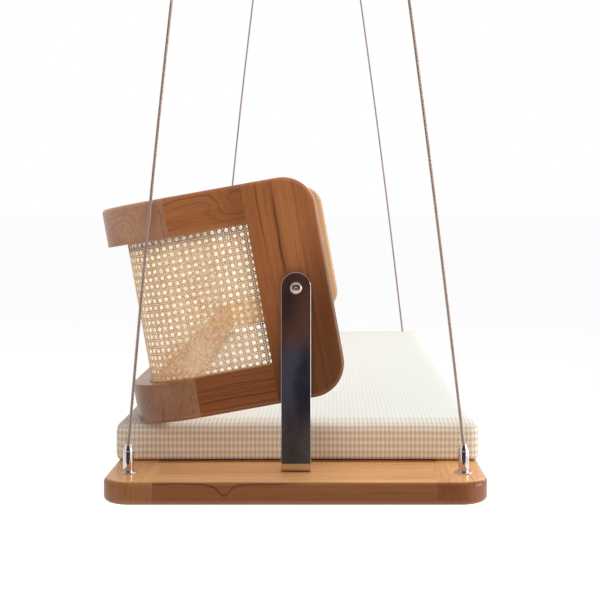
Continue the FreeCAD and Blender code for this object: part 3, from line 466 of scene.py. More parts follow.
def spun(radii, heights, centre, along="Z", turn=1.0, radius_at=None):
    """Points r cos a, r sin a at each height of the profile, about an axis through centre.

    along is the axis: Z is up, and Y turns the piece so that its height runs along the bench,
    towards its middle for turn 1 at the right end. radius_at changes r with the angle.
    """
    a = np.arange(SPIN_STEPS) * 2 * math.pi / SPIN_STEPS
    r = np.broadcast_to(np.asarray(radii, float)[:, None], (len(radii), SPIN_STEPS))
    if radius_at is not None:
        r = radius_at(r, a)
    h = np.broadcast_to(np.asarray(heights, float)[:, None], r.shape)
    if along == "Z":
        local = np.stack([r * np.cos(a), r * np.sin(a), h], -1)
    else:
        local = np.stack([r * np.cos(a), h * turn, r * np.sin(a)], -1)
    return local.reshape(-1, 3) + np.asarray(centre, float)


def rounded_profile(corners, rounds, steps=5):
    """The profile's corners joined by straight lines, each corner with its own round.

    A corner is left as an arc drawn by the quadratic (1-t)^2 A + 2t(1-t) C + t^2 B between
    the points A and B where the round meets the two lines.
    """
    corners = np.array(corners, float)
    t = np.linspace(0, 1, steps)[:, None]
    out = [corners[:1]]
    for before, corner, after, size in zip(corners[:-2], corners[1:-1], corners[2:], rounds):
        a, b = before - corner, after - corner
        la, lb = np.linalg.norm(a), np.linalg.norm(b)
        cut = min(size, la / 2, lb / 2)
        p, q = corner + a / la * cut, corner + b / lb * cut
        out.append((1 - t) ** 2 * p + 2 * t * (1 - t) * corner + t ** 2 * q)
    out.append(corners[-1:])
    return np.concatenate(out)


# %% Ferrules and their washers
FERRULE_X = 0.292
FERRULE_RADIUS = 0.00925
FERRULE_TIP = 0.0048
FERRULE_FOOT = 0.002
FERRULE_TOP = 0.050
SHANK_RADIUS = 0.005
SOCKET_RADIUS = 0.00345
SOCKET_FLOOR = 0.046
SHANK_LOW = -0.039
GROOVE_AT = 0.0375
GROOVE_WIDE, GROOVE_DEEP = 0.0010, 0.0005
TAPER_END = (0.0009, 0.0025)
WASHER_BORE, WASHER_RADIUS, WASHER_THICK = 0.00505, 0.016, 0.002


def ferrule_profile():
    """From the shank's foot up the barrel, over the turned groove and the taper to the tip,
    and down into the socket that the rope comes out of."""
    corners = [(0.0, SHANK_LOW), (SHANK_RADIUS, SHANK_LOW), (SHANK_RADIUS, FERRULE_FOOT),
               (FERRULE_RADIUS, FERRULE_FOOT), (FERRULE_RADIUS, GROOVE_AT),
               (FERRULE_RADIUS - GROOVE_DEEP, GROOVE_AT + GROOVE_WIDE / 2),
               (FERRULE_RADIUS - GROOVE_DEEP / 2, GROOVE_AT + GROOVE_WIDE),
               (FERRULE_TIP + TAPER_END[0], FERRULE_TOP - TAPER_END[1]), (FERRULE_TIP, FERRULE_TOP),
               (SOCKET_RADIUS, FERRULE_TOP), (SOCKET_RADIUS, SOCKET_FLOOR), (0.0, SOCKET_FLOOR)]
    rounds = [0.0008, 0.0002, 0.0008, 0.0003, 0.0002, 0.0004, 0.0015, 0.0008, 0.0005, 0.0001]
    return rounded_profile(corners, rounds)


def washer_profile():
    """A ring's section with its corners eased, closed back to its first point."""
    corners = [(WASHER_BORE, WASHER_THICK / 2), (WASHER_BORE, 0.0), (WASHER_RADIUS, 0.0),
               (WASHER_RADIUS, WASHER_THICK), (WASHER_BORE, WASHER_THICK),
               (WASHER_BORE, WASHER_THICK / 2)]
    return rounded_profile(corners, [0.0003, 0.0006, 0.0007, 0.0003])


def spun_piece(name, profile, centres, body, slot, stands_for, **way):
    """One profile spun about each of the centres, as one piece."""
    made = [spun(*profile.T, centre, **way) for centre in centres]
    faces = [grid_faces(len(profile), SPIN_STEPS, True, number * len(made[0]))
             for number in range(len(made))]
    return new_piece(name, np.concatenate(made), faces, body, stands_for, weld=WELD_GAP)


rope_feet = {f"{side}_{end}": (SEAT_MIDDLE_X + FERRULE_X * x_sign, ROPE_Y * y_sign, SEAT_TOP)
             for side, x_sign in SIDES.items() for end, y_sign in ENDS.items()}
ferrules = [spun_piece(f"ferrule_body_{corner}", ferrule_profile(), [place], "seat",
                       "ferrule_chrome", [f"ferrule_{corner}"])
            for corner, place in rope_feet.items()]
ferrules.append(spun_piece("ferrule_washers", washer_profile(), rope_feet.values(), "seat",
                           "ferrule_chrome", ["rope_washers_top"]))

# %% [markdown]
# ## The pivot bolts
# A domed bolt with a six-sided socket holds each arm to its post. The socket is part of the
# same spun surface: near the middle the radius changes with the angle, so that the round
# section becomes a hexagon, r = half width / cos(angle from the middle of a flat).

# %% Spin the bolts
BOLT_HEAD_RADIUS = 0.0105
BOLT_HEAD_LOW = -0.0003
BOLT_HEAD_HIGH = -0.0063
BOLT_RADIUS = 0.005
BOLT_END = 0.042
SOCKET_HALF = 0.0030
SOCKET_DEPTH = 0.0030
SOCKET_ROWS = 3
SOCKET_EASE = 0.0001
DOME_RISE = 0.0046
DOME_START = 0.36
DOME_SHIFT = 0.2
RIM_EASE = 0.0003
TIP_CHAMFER = 0.001


def hexed(r, a):
    """Turns the first rows of the profile, the socket's, from circles into hexagons."""
    flat = (a + math.pi / 6) % (math.pi / 3) - math.pi / 6
    hexagon = np.ones_like(r)
    hexagon[1:SOCKET_ROWS] = 1 / np.cos(flat)
    return r * hexagon


def bolt_profile():
    """Socket floor, socket wall, dome (a quarter ellipse), rim, underside, shank and tip."""
    floor = BOLT_HEAD_HIGH + SOCKET_DEPTH
    t = np.linspace(DOME_START, math.pi / 2, 10)
    dome_r = BOLT_HEAD_RADIUS * np.sin(t)
    dome_h = BOLT_HEAD_HIGH + DOME_RISE * (1 - np.cos(t) - DOME_SHIFT * (1 - math.cos(t[0])))
    socket = [(0.0, floor), (SOCKET_HALF, floor), (SOCKET_HALF, dome_h[0] - SOCKET_EASE)]
    foot = [(BOLT_HEAD_RADIUS, BOLT_HEAD_LOW - RIM_EASE),
            (BOLT_HEAD_RADIUS - RIM_EASE, BOLT_HEAD_LOW),
            (BOLT_RADIUS, BOLT_HEAD_LOW), (BOLT_RADIUS, BOLT_END - TIP_CHAMFER),
            (BOLT_RADIUS - TIP_CHAMFER, BOLT_END), (0.0, BOLT_END)]
    return np.array(socket + list(zip(dome_r, dome_h)) + foot)


bolts = [spun_piece(f"pivot_bolt_dome_{end}", bolt_profile(), [(PIVOT[0], ROPE_Y * y_sign, PIVOT[2])],
                    "backrest", "bolt_steel", [f"pivot_bolt_{end}"], along="Y", turn=-y_sign,
                    radius_at=hexed)
         for end, y_sign in ENDS.items()]

# %% [markdown]
# ## The cushion
# A boxed foam pad in a check cotton cover: a top, a bottom and a band round the sides. It is
# drawn as a box on a grid whose corners and edges are drawn round by the same rule: where two
# distances a, b both reach into a round of radius e, the pair is moved on to the quarter
# circle, (a, b) max(a, b) / |(a, b)|. The cloth simulation then blows it up a little, which
# crowns the panels and draws the seams in, as stuffing does. The grid has no poles, and each
# face keeps the place that it was cut from, so the check follows the cloth.

# %% Cut and shape the cover
PAD_HALF_X = 0.3270
PAD_HALF_Y = 0.7370
PAD_TALL = 0.0655
PAD_CORNER = 0.020
PAD_TOP_ROUND = 0.009
PAD_LOW_ROUND = 0.003
PAD_CELL = 0.0105
PAD_FLOOR = SEAT_TOP + 0.0006


def rounded_box(x, y, z):
    """Points on a sharp box, centred in plan and with z from 0 to its height, drawn round."""
    cx = np.clip(x, -(PAD_HALF_X - PAD_CORNER), PAD_HALF_X - PAD_CORNER)
    cy = np.clip(y, -(PAD_HALF_Y - PAD_CORNER), PAD_HALF_Y - PAD_CORNER)
    dx, dy = x - cx, y - cy
    most = np.maximum(np.abs(dx), np.abs(dy))
    plan = most / np.maximum(np.hypot(dx, dy), TINY)
    e = np.where(z > PAD_TALL / 2, PAD_TOP_ROUND, PAD_LOW_ROUND)
    out = np.clip(most - (PAD_CORNER - e), 0, None)
    up = np.clip(np.abs(z - PAD_TALL / 2) - (PAD_TALL / 2 - e), 0, None)
    ease = np.maximum(out, up) / np.maximum(np.hypot(out, up), TINY)
    shrink = np.where(most > TINY, (most - out + out * ease) / np.maximum(most, TINY), 1.0)
    z_new = z - np.sign(z - PAD_TALL / 2) * up * (1 - ease)
    return np.stack([cx + dx * plan * shrink, cy + dy * plan * shrink, z_new], -1)


def arc_place(c, d):
    """Arc length along a side: the straight part c, then the corner's angle times its radius."""
    return c + PAD_CORNER * np.arctan2(d, PAD_CORNER)


def side_place(across, half):
    """Where a point of a side lies along the band of cloth."""
    c = np.clip(across, -(half - PAD_CORNER), half - PAD_CORNER)
    return arc_place(c, across - c)


def pad_panels():
    """Six panels of the sharp box: points, the flat place of each point on its cloth, and the
    kind of the panel."""
    nx, ny, nz = (int(round(size / PAD_CELL)) for size in (2 * PAD_HALF_X, 2 * PAD_HALF_Y, PAD_TALL))
    gx = np.linspace(-PAD_HALF_X, PAD_HALF_X, nx + 1)
    gy = np.linspace(-PAD_HALF_Y, PAD_HALF_Y, ny + 1)
    gz = np.linspace(0, PAD_TALL, nz + 1)
    panels = []
    for z, kind in ((PAD_TALL, "top"), (0.0, "bottom")):
        x, y = np.meshgrid(gx, gy, indexing="ij")
        panels.append((np.stack([x, y, np.full_like(x, z)], -1), np.stack([x, y], -1), kind))
    quarter = PAD_CORNER * math.pi / 2
    side_long = 2 * (PAD_HALF_Y - PAD_CORNER) + quarter
    side_short = 2 * (PAD_HALF_X - PAD_CORNER) + quarter
    for sign in (-1, 1):
        x, z = np.meshgrid(gx, gz, indexing="ij")
        along = side_place(-sign * x, PAD_HALF_X) + (side_short + side_long) * (sign > 0)
        panels.append((np.stack([x, np.full_like(x, sign * PAD_HALF_Y), z], -1),
                       np.stack([along, z], -1), "band"))
        y, z = np.meshgrid(gy, gz, indexing="ij")
        along = side_place(sign * y, PAD_HALF_Y) + (side_short + side_long) / 2 * sign
        panels.append((np.stack([np.full_like(y, sign * PAD_HALF_X), y, z], -1),
                       np.stack([along, z], -1), "band"))
    return panels


def cut_cover():
    """Sews the six panels into one closed mesh with the cloth's place as its UV map."""
    points, faces, flat, kinds, count = [], [], [], [], 0
    for sharp, cloth, kind in pad_panels():
        rows, columns = sharp.shape[:2]
        quads = grid_faces(rows, columns, start=count)
        points.append(rounded_box(sharp[..., 0], sharp[..., 1], sharp[..., 2]).reshape(-1, 3))
        flat.append(cloth.reshape(-1, 2))
        faces.append(quads)
        kinds.append(np.full(len(quads), 1 if kind == "top" else 0))
        count += rows * columns
    points, faces, flat = np.concatenate(points), np.concatenate(faces), np.concatenate(flat)
    points += np.array([SEAT_MIDDLE_X, 0.0, PAD_FLOOR])
    mesh = bpy.data.meshes.new("seat_pad")
    mesh.from_pydata(points.tolist(), [], faces.tolist())
    mesh.uv_layers.new(name="cloth").data.foreach_set("uv", flat[faces.ravel()].ravel())
    mesh.materials.append(None)
    mesh.materials.append(None)
    mesh.polygons.foreach_set("material_index", np.concatenate(kinds))
    mesh.polygons.foreach_set("use_smooth", np.ones(len(faces), bool))
    welded(mesh, WELD_GAP)
    return linked("seat_pad", mesh)


pad = cut_cover()
print(f"cover: {len(pad.data.polygons)} faces")

# %% [markdown]
# The air pressure in the simulation stands for the stuffing. Points may move only a few
# millimetres, because the foam inside holds its shape, and the top stays under the height at
# which the backrest leans on it. A crown is added as a smooth dome, highest in the middle,
# and the band between the seams is drawn in a little halfway along each side.

# %% Stuff the cover
PRESSURE = 4.0
STEPS = 20
MOST_SWELL = 0.006
PAD_CROWN = 0.0036
PAD_TOP_LIMIT = SEAT_TOP + 0.0693
DRAW_IN = 0.0025
RIPPLE = 0.0005
RIPPLES_ALONG, RIPPLES_ACROSS, RIPPLE_BENDS, RIPPLE_START = 61, 43, 17, 1.3
LEAST_HEIGHT = SEAT_TOP + 0.0003
STUFFED_HALF = np.array([0.3325, 0.7415])


def swell(piece):
    """Runs the cloth with pressure and no gravity, and keeps a capped share of the motion."""
    before = read_points(piece.data)
    cloth = piece.modifiers.new("stuffing", "CLOTH")
    cloth.settings.use_pressure = True
    cloth.settings.uniform_pressure_force = PRESSURE
    cloth.settings.effector_weights.gravity = 0.0
    cloth.settings.quality = 5
    cloth.point_cache.frame_start, cloth.point_cache.frame_end = 1, STEPS
    for step in range(1, STEPS + 1):
        bpy.context.scene.frame_set(step)
    stuffed = bpy.data.meshes.new_from_object(piece.evaluated_get(bpy.context.evaluated_depsgraph_get()))
    moved = read_points(stuffed) - before
    far = np.linalg.norm(moved, axis=1)
    print(f"the stuffing moved points by up to {far.max() * 1000:.1f} mm")
    bpy.data.meshes.remove(stuffed)
    piece.modifiers.remove(cloth)
    bpy.context.scene.frame_set(1)
    scale = np.minimum(1, MOST_SWELL / np.maximum(far, TINY))
    return before + moved * scale[:, None]


def crowned(points):
    """Adds the dome (1 - a^4)(1 - b^8) and soft ripples over the top, draws the sides in by
    the middle and brings the whole back to its stuffed width and length."""
    p = points - np.array([SEAT_MIDDLE_X, 0.0, PAD_FLOOR])
    a = np.clip(p[:, 0] / PAD_HALF_X, -1, 1)
    b = np.clip(p[:, 1] / PAD_HALF_Y, -1, 1)
    up = np.clip(p[:, 2] / PAD_TALL, 0, 1) ** 3
    p[:, 2] += PAD_CROWN * (1 - a ** 4) * (1 - b ** 8) * up
    wave = np.sin(p[:, 1] * RIPPLES_ALONG + 2 * np.sin(p[:, 0] * RIPPLE_BENDS))
    p[:, 2] += RIPPLE * wave * np.sin(p[:, 0] * RIPPLES_ACROSS + RIPPLE_START) * up
    p[:, 0] *= 1 - DRAW_IN / PAD_HALF_X * (1 - b ** 2) * np.abs(a) ** 6
    p[:, 1] *= 1 - DRAW_IN / PAD_HALF_Y * (1 - a ** 2) * np.abs(b) ** 12
    p[:, :2] *= STUFFED_HALF / np.abs(p[:, :2]).max(axis=0)
    p += np.array([SEAT_MIDDLE_X, 0.0, PAD_FLOOR])
    p[:, 2] = np.clip(p[:, 2], LEAST_HEIGHT, PAD_TOP_LIMIT)
    return p


stuffed_points = swell(pad)
stuffed_points = crowned(stuffed_points)
pad.data.vertices.foreach_set("co", stuffed_points.ravel())
pad.data.update()
finer = pad.modifiers.new("finer", "SUBSURF")
finer.levels = finer.render_levels = 1
refined = bpy.data.meshes.new_from_object(pad.evaluated_get(bpy.context.evaluated_depsgraph_get()))
pad.modifiers.remove(finer)
pad.data = refined
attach(pad, "seat")
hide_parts("seat_cushion")
top = read_points(pad.data)[:, 2].max()
print(f"cushion: {len(pad.data.polygons)} faces, top {1000 * (top - SEAT_TOP):.1f} mm over the seat")

# %% [markdown]
# ## Building materials from nodes
# Finishes are node trees. An effect that several finishes share, such as wood grain, is a
# node group with named inputs, and each material then holds one Principled shader fed by it.
# Painting textures on images would be quicker for one view, but nodes work at any distance
# and give the same answer on every run. A small class lets sockets be added and multiplied
# like numbers, so that a tree reads like its formula.

# %% Sockets that can be reckoned with
class Value:
    """An output socket. Each sign between it and another value or a number adds a Math node."""

    def __init__(self, socket):
        self.socket, self.tree = socket, socket.id_data

    def math(self, operation, *others):
        return got(self.tree, "ShaderNodeMath", dict(enumerate((self, *others))), operation=operation)

    def __add__(self, other):
        return self.math("ADD", other)

    def __sub__(self, other):
        return self.math("SUBTRACT", other)

    def __rsub__(self, other):
        return got(self.tree, "ShaderNodeMath", {0: other, 1: self}, operation="SUBTRACT")

    def __mul__(self, other):
        return self.math("MULTIPLY", other)

    def __truediv__(self, other):
        return self.math("DIVIDE", other)


def feed(node, inputs):
    """Gives inputs of a node their numbers, or links from values."""
    for key, value in inputs.items():
        if isinstance(value, Value):
            node.id_data.links.new(value.socket, node.inputs[key])
        else:
            node.inputs[key].default_value = value


def add(tree, kind, inputs={}, **settings):
    """Adds a node with its settings and inputs, and returns the node."""
    made = tree.nodes.new(kind)
    for name, value in settings.items():
        setattr(made, name, value)
    feed(made, inputs)
    return made


def got(tree, kind, inputs={}, out=0, **settings):
    """Adds a node and returns one of its outputs as a value."""
    return Value(add(tree, kind, inputs, **settings).outputs[out])


def by_name(sockets):
    return {socket.name: Value(socket) for socket in sockets if socket.name}


# %% Helpers for node trees
FLOAT, COLOUR, VECTOR = "NodeSocketFloat", "NodeSocketColor", "NodeSocketVector"
WHITE = (1.0, 1.0, 1.0, 1.0)
BLACK = (0.0, 0.0, 0.0, 1.0)


def shade(red, green, blue):
    """A colour seen on a screen, 0 to 255, as the linear colour that shaders use."""
    c = np.array([red, green, blue]) / 255.0
    linear = np.where(c <= 0.04045, c / 12.92, ((c + 0.055) / 1.055) ** 2.4)
    return (*[float(v) for v in linear], 1.0)


def mixed(share, first, second):
    """Two colours mixed by a share from 0 to 1."""
    return got(share.tree, "ShaderNodeMix", {0: share, 6: first, 7: second}, 2, data_type="RGBA")


def vectors(operation, first, second, out=0):
    """One step of arithmetic on vectors."""
    return got(first.tree, "ShaderNodeVectorMath", {0: first, 1: second}, out, operation=operation)


def stretched(vector, *factors):
    """A vector with each of its parts multiplied."""
    return vectors("MULTIPLY", vector, factors)


def length_of(vector):
    return got(vector.tree, "ShaderNodeVectorMath", {0: vector}, "Value", operation="LENGTH")


def parts(vector):
    """The three parts of a vector."""
    return [Value(out) for out in add(vector.tree, "ShaderNodeSeparateXYZ", {0: vector}).outputs]


def noise(vector, scale, detail=2.0, rough=0.5):
    """Soft noise from 0 to 1."""
    return got(vector.tree, "ShaderNodeTexNoise", {"Vector": vector, "Scale": scale, "Detail": detail,
                                                   "Roughness": rough})


def between(value, low, high, to_low=0.0, to_high=1.0, way="SMOOTHSTEP"):
    """A value carried smoothly from one range to another, and held at its ends."""
    return got(value.tree, "ShaderNodeMapRange", {0: value, 1: low, 2: high, 3: to_low, 4: to_high},
               interpolation_type=way)


def new_group(name, vector_names, colour_names, numbers, gives):
    """A node group with named inputs and outputs. numbers has the inputs that are numbers with
    their usual values. Returns the group, its inputs as values and its output node."""
    group = bpy.data.node_groups.new(name, "ShaderNodeTree")
    kinds = {**dict.fromkeys(vector_names, VECTOR), **dict.fromkeys(colour_names, COLOUR),
             **dict.fromkeys(numbers, FLOAT)}
    for label, kind in kinds.items():
        socket = group.interface.new_socket(label, in_out="INPUT", socket_type=kind)
        if label in numbers:
            socket.default_value = numbers[label]
    for label, kind in gives.items():
        group.interface.new_socket(label, in_out="OUTPUT", socket_type=kind)
    start = add(group, "NodeGroupInput")
    return group, by_name(start.outputs), add(group, "NodeGroupOutput")


def use_group(tree, group, inputs):
    """Places a node group in a tree with its own inputs, and returns its outputs by name."""
    return by_name(add(tree, "ShaderNodeGroup", inputs, node_tree=group).outputs)


def new_material(name, **values):
    """A material with one Principled shader; the values go on the shader's own sockets."""
    material = bpy.data.materials.new(name)
    material.use_nodes = True
    tree = material.node_tree
    shader = tree.nodes["Principled BSDF"]
    feed(shader, {label.replace("_", " "): value for label, value in values.items()})
    return material, tree, shader


def bump(shader, height, distance, strength):
    """Feeds a height into the shader's normal."""
    feed(shader, {"Normal": got(height.tree, "ShaderNodeBump", {"Height": height, "Distance": distance,
                                                                "Strength": strength})})


def object_place(tree, turn=(0.0, 0.0, 0.0), shift=(0.0, 0.0, 0.0)):
    """Object coordinates, turned and moved by a Mapping node."""
    return got(tree, "ShaderNodeMapping", {"Vector": got(tree, "ShaderNodeTexCoord", out="Object"),
                                           "Rotation": turn, "Location": shift})


def dress(material, pieces):
    """Gives pieces, or solids of the frame, their finish."""
    for piece in pieces:
        if not piece.material_slots:
            piece.data.materials.append(None)
        for slot in piece.material_slots:
            slot.link = "OBJECT"
            slot.material = material


def solids(*names):
    return [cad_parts[name] for name in names]


print("helpers ready")

# %% [markdown]
# ## Teak
# The timber is teak under a clear lacquer. A board shows the tree's yearly rings, cut along
# their length: so the grain is a set of cylinders about the x axis of the group's own place,
# each darkening slowly and ending sharply, and a slow wander turns straight lines into the
# pointed arches seen on a flat board. Long streaks and short dark pores lie over the rings.
# Because the rings are a solid pattern, the end of a rail shows end grain without more work.

# %% Grain of the timber
WANDERS = (4.2, 15.0, 15.0)
SMALL_WANDERS = (9.0, 160.0, 160.0)
GAPS = (5.0, 30.0, 30.0)
STREAKS = (2.2, 75.0, 75.0)
BROAD_BANDS = (1.4, 14.0, 14.0)
PORES = (60.0, 1150.0, 1150.0)
FIBRES = (14.0, 520.0, 520.0)
THIN_LINES = (1.1, 240.0, 240.0)
KNOT_SHAPE = (34.0, 0.0, 44.0)
RINGS_WANDERED = 8.0
RINGS_SHAKEN = 0.35
LATE_WOOD = (0.66, 0.93)
YEAR_END = (0.94, 1.0)
LEAST_DEPTH = 0.2
GAP_RANGE = (0.3, 0.6, 0.35, 1.0)
STREAK_RANGE = (0.35, 0.75)
BROAD_RANGE = (0.3, 0.7)
PORE_RANGE = (0.60, 0.74)
FIBRE_RANGE = (0.3, 0.7)
THIN_RANGE = (0.56, 0.72)
BROAD_SHARE, PORE_SHARE, FIBRE_SHARE = 0.8, 0.22, 0.16


def make_teak():
    """Rings are counted by r / width plus noise; a year's late wood is the end of its count.

    Each kind of noise is stretched by its own factors, small along the grain and large across.
    A knot adds rings by exp(-d^2), with d its distance in its own stretched space.
    """
    group, take, stop = new_group(
        "teak grain and painted shade", ["Place", "Painted Shade Way", "Knot Place"], ["Pale", "Middle", "Dark"],
        {"Ring Width": 0.009, "Wander": 1.0, "Ring Strength": 0.6, "Streaks": 0.5, "Lines": 0.3,
         "Painted Shade From": 0.0, "Painted Shade To": 1.0, "Painted Shade Share": 0.0, "Knot": 0.0},
        {"Colour": COLOUR, "Relief": FLOAT, "Dullness": FLOAT})
    place, dark = take["Place"], take["Dark"]

    def grain_noise(factors, detail=2.0, rough=0.5):
        return noise(stretched(place, *factors), 1.0, detail, rough)

    wander = (grain_noise(WANDERS, 2.0, 0.45) - 0.5) * take["Wander"]
    from_axis = length_of(stretched(place, 0.0, 1.0, 1.0))
    from_knot = length_of(stretched(vectors("SUBTRACT", place, take["Knot Place"]), *KNOT_SHAPE))
    swirl = (from_knot.math("POWER", 2.0) * -1.0).math("EXPONENT")
    rings = (from_axis / take["Ring Width"] + wander * RINGS_WANDERED
             + grain_noise(SMALL_WANDERS) * RINGS_SHAKEN + swirl * take["Knot"])
    phase = rings.math("FRACT")
    late = between(phase, *LATE_WOOD) * between(phase, *YEAR_END, 1.0, 0.0)
    chance = got(group, "ShaderNodeTexWhiteNoise", {"W": rings.math("FLOOR")}, noise_dimensions="1D")
    depth = chance.math("POWER", 3.0) * (1.0 - LEAST_DEPTH) + LEAST_DEPTH
    broken = between(grain_noise(GAPS), *GAP_RANGE)
    late = late * depth * (broken * take["Ring Strength"])
    pores = between(grain_noise(PORES, 1.0), *PORE_RANGE)
    fibre = grain_noise(FIBRES, 3.0, 0.6)
    broad = between(grain_noise(BROAD_BANDS, 1.0), *BROAD_RANGE)
    streak = between(grain_noise(STREAKS, 4.0, 0.6), *STREAK_RANGE)
    thin = between(grain_noise(THIN_LINES), *THIN_RANGE)
    # Painted shade: beyond a level along the given way, the colour turns to the dark tone.
    painted_shade = between(vectors("DOT_PRODUCT", place, take["Painted Shade Way"], "Value"), take["Painted Shade From"],
                   take["Painted Shade To"])
    colour = mixed(broad * BROAD_SHARE, take["Pale"], take["Middle"])
    colour = mixed(streak * take["Streaks"], colour, take["Middle"])
    small = pores * PORE_SHARE + between(fibre, *FIBRE_RANGE) * FIBRE_SHARE
    for darker in (late, thin * take["Lines"], small, painted_shade * take["Painted Shade Share"]):
        colour = mixed(darker, colour, dark)
    feed(stop, {"Colour": colour, "Relief": fibre * 0.3 - (pores + late * 0.3),
                "Dullness": between(fibre, 0.2, 0.8)})
    return group


teak = make_teak()
print("teak grain and painted shade:", len(teak.nodes), "nodes")

# %% [markdown]
# Two boards also carry a thin, nearly black mineral line of their own, and the eye finds those
# lines first. Rings can't be steered well enough to draw them, so a second small group does:
# it measures how far a point lies from a wandering level, with one sudden dip if wanted.

# %% A dark line in a board
DIP_SPAN = 0.011
DIP_POWER = 2.6
LINE_EDGE = (0.35, 1.0)
GLOW_EDGE, GLOW_SHARE = (0.5, 4.0), 0.35
FADE_IN, FADE_OUT, SKIN_EDGE = 0.03, 0.06, 0.004
LINE_SHARE = 0.85


def make_dark_line():
    """Mask of |across - level(along)| under a width, where level is soft noise, less a dip
    depth / (1 + |(along - place) / span|^2.6). The line fades beyond both its ends, and it
    stays on the face of the board, where the place's y is under the skin's."""
    group, take, stop = new_group(
        "dark line", ["Place"], [],
        {"Level": 0.0, "Wobble": 0.004, "Dip Place": 0.0, "Dip Depth": 0.0, "Width": 0.0012,
         "First End": -1.0, "Last End": 1.0, "Skin": 0.05}, {"Mask": FLOAT})
    along, inward, across = parts(take["Place"])
    wave = noise(stretched(take["Place"], 1.0, 0.0, 0.0), 13.0) - 0.5
    away = ((along - take["Dip Place"]) / DIP_SPAN).math("ABSOLUTE")
    dip = take["Dip Depth"] / (away.math("POWER", DIP_POWER) + 1.0)
    widths = (across - (take["Level"] + wave * take["Wobble"] - dip)).math("ABSOLUTE") / take["Width"]
    line = between(widths, *LINE_EDGE, 1.0, 0.0)
    glow = between(widths, *GLOW_EDGE, GLOW_SHARE, 0.0)
    fade_in = between(along - take["First End"], 0.0, FADE_IN)
    fade_out = between(take["Last End"] - along, 0.0, FADE_OUT)
    on_face = between(inward - take["Skin"], 0.0, SKIN_EDGE, 1.0, 0.0)
    feed(stop, {"Mask": line.math("MAXIMUM", glow) * (fade_in * fade_out * on_face)})
    return group


dark_line = make_dark_line()
print("dark line:", len(dark_line.nodes), "nodes")

# %% Teak in each direction
ALONG_BENCH = (0.0, 0.0, -math.pi / 2)
ALONG_SEAT = (0.0, 0.0, 0.0)
ALONG_SIDE = (0.0, -BACKREST_LEAN, 0.0)
UP_THE_POST = (0.0, math.pi / 2 - BACKREST_LEAN, 0.0)

WARM = ((196, 132, 80), (172, 110, 64), (88, 54, 30))
ORANGE = ((202, 130, 80), (174, 104, 60), (80, 40, 18))
# A darker copy of the near teak for the lower near side rail: painted shade.
SHADED_TEAK = ((164, 98, 56), (136, 76, 40), (56, 32, 18))
PLUM = ((172, 120, 88), (144, 98, 68), (86, 52, 36))
# This palette and the next are paler copies of the teak for the far boards: painted light.
SUNLIT = ((236, 188, 142), (222, 170, 122), (170, 116, 76))
FAR_SIDE_LIT = ((214, 172, 134), (202, 156, 116), (154, 106, 72))
# The seat's teak. Its dark tone is also the colour of the painted shade on the seat's faces.
BENCH = ((242, 184, 122), (222, 158, 100), (112, 48, 12))
# The palest copy of the teak, for the far lower boards seen through the cane: painted light.
FAR_LIT_PALE = ((253, 232, 196), (248, 218, 172), (214, 168, 120))
DUSTY = ((212, 158, 124), (184, 132, 98), (104, 64, 46))
DOWEL = ((214, 178, 130), (196, 156, 108), (150, 112, 74))
# Dark brown of the mineral lines in the teak, also used for the painted contact shadow under the
# cushion.
LINE_AND_SHADOW_BROWN = shade(62, 38, 24)
DOWN = (0.0, 0.0, -1.0)


def teak_material(name, turn, shift, colours, ring_width, wander, ring_strength, streaks=0.5,
                  painted_shade=((1.0, 0.0, 0.0), 0.0, 1.0, 0.0), line=None, lines=0.3,
                  knot=((0.0, 0.0, 0.0), 0.0)):
    """Lacquered teak: the grain group feeds colour, roughness and a fine relief.

    shift is the board's place in the tree, measured from the middle of the seat's top. The
    argument after streaks is painted shade, not darker wood: a direction, where along it the
    painted shade starts and is full, and how dark it gets. knot is the place of a knot and how
    many rings it pushes aside.
    """
    material, tree, shader = new_material(name, Coat_Weight=0.4, Coat_Roughness=0.14,
                                          Coat_IOR=1.5, Specular_IOR_Level=0.1)
    home = Euler(turn).to_matrix() @ Vector((SEAT_MIDDLE_X, 0.0, SEAT_TOP))
    place = object_place(tree, turn, tuple(Vector(shift) - home))
    labels = ("Pale", "Middle", "Dark", "Painted Shade Way", "Painted Shade From", "Painted Shade To", "Painted Shade Share",
              "Knot Place", "Knot")
    grain = use_group(tree, teak, {
        "Place": place, "Ring Width": ring_width, "Wander": wander,
        "Ring Strength": ring_strength, "Streaks": streaks, "Lines": lines,
        **dict(zip(labels, (*[shade(*colour) for colour in colours], *painted_shade, *knot)))})
    colour = grain["Colour"]
    if line is not None:
        drawn = use_group(tree, dark_line, {"Place": place, **line})["Mask"]
        colour = mixed(drawn * LINE_SHARE, colour, LINE_AND_SHADOW_BROWN)
    feed(shader, {"Base Color": colour,
                  "Roughness": between(grain["Dullness"], 0.0, 1.0, 0.38, 0.52)})
    bump(shader, grain["Relief"], distance=0.00012, strength=0.6)
    return material


SEAT_LINE = {"Level": 0.0885, "Wobble": 0.005, "Dip Place": -0.107, "Dip Depth": 0.019,
             "Width": 0.0011, "First End": -0.25, "Last End": 0.04, "Skin": 0.043}
POST_LINE = {"Level": 0.452, "Wobble": 0.012, "Width": 0.0012, "First End": -0.62, "Last End": -0.44}
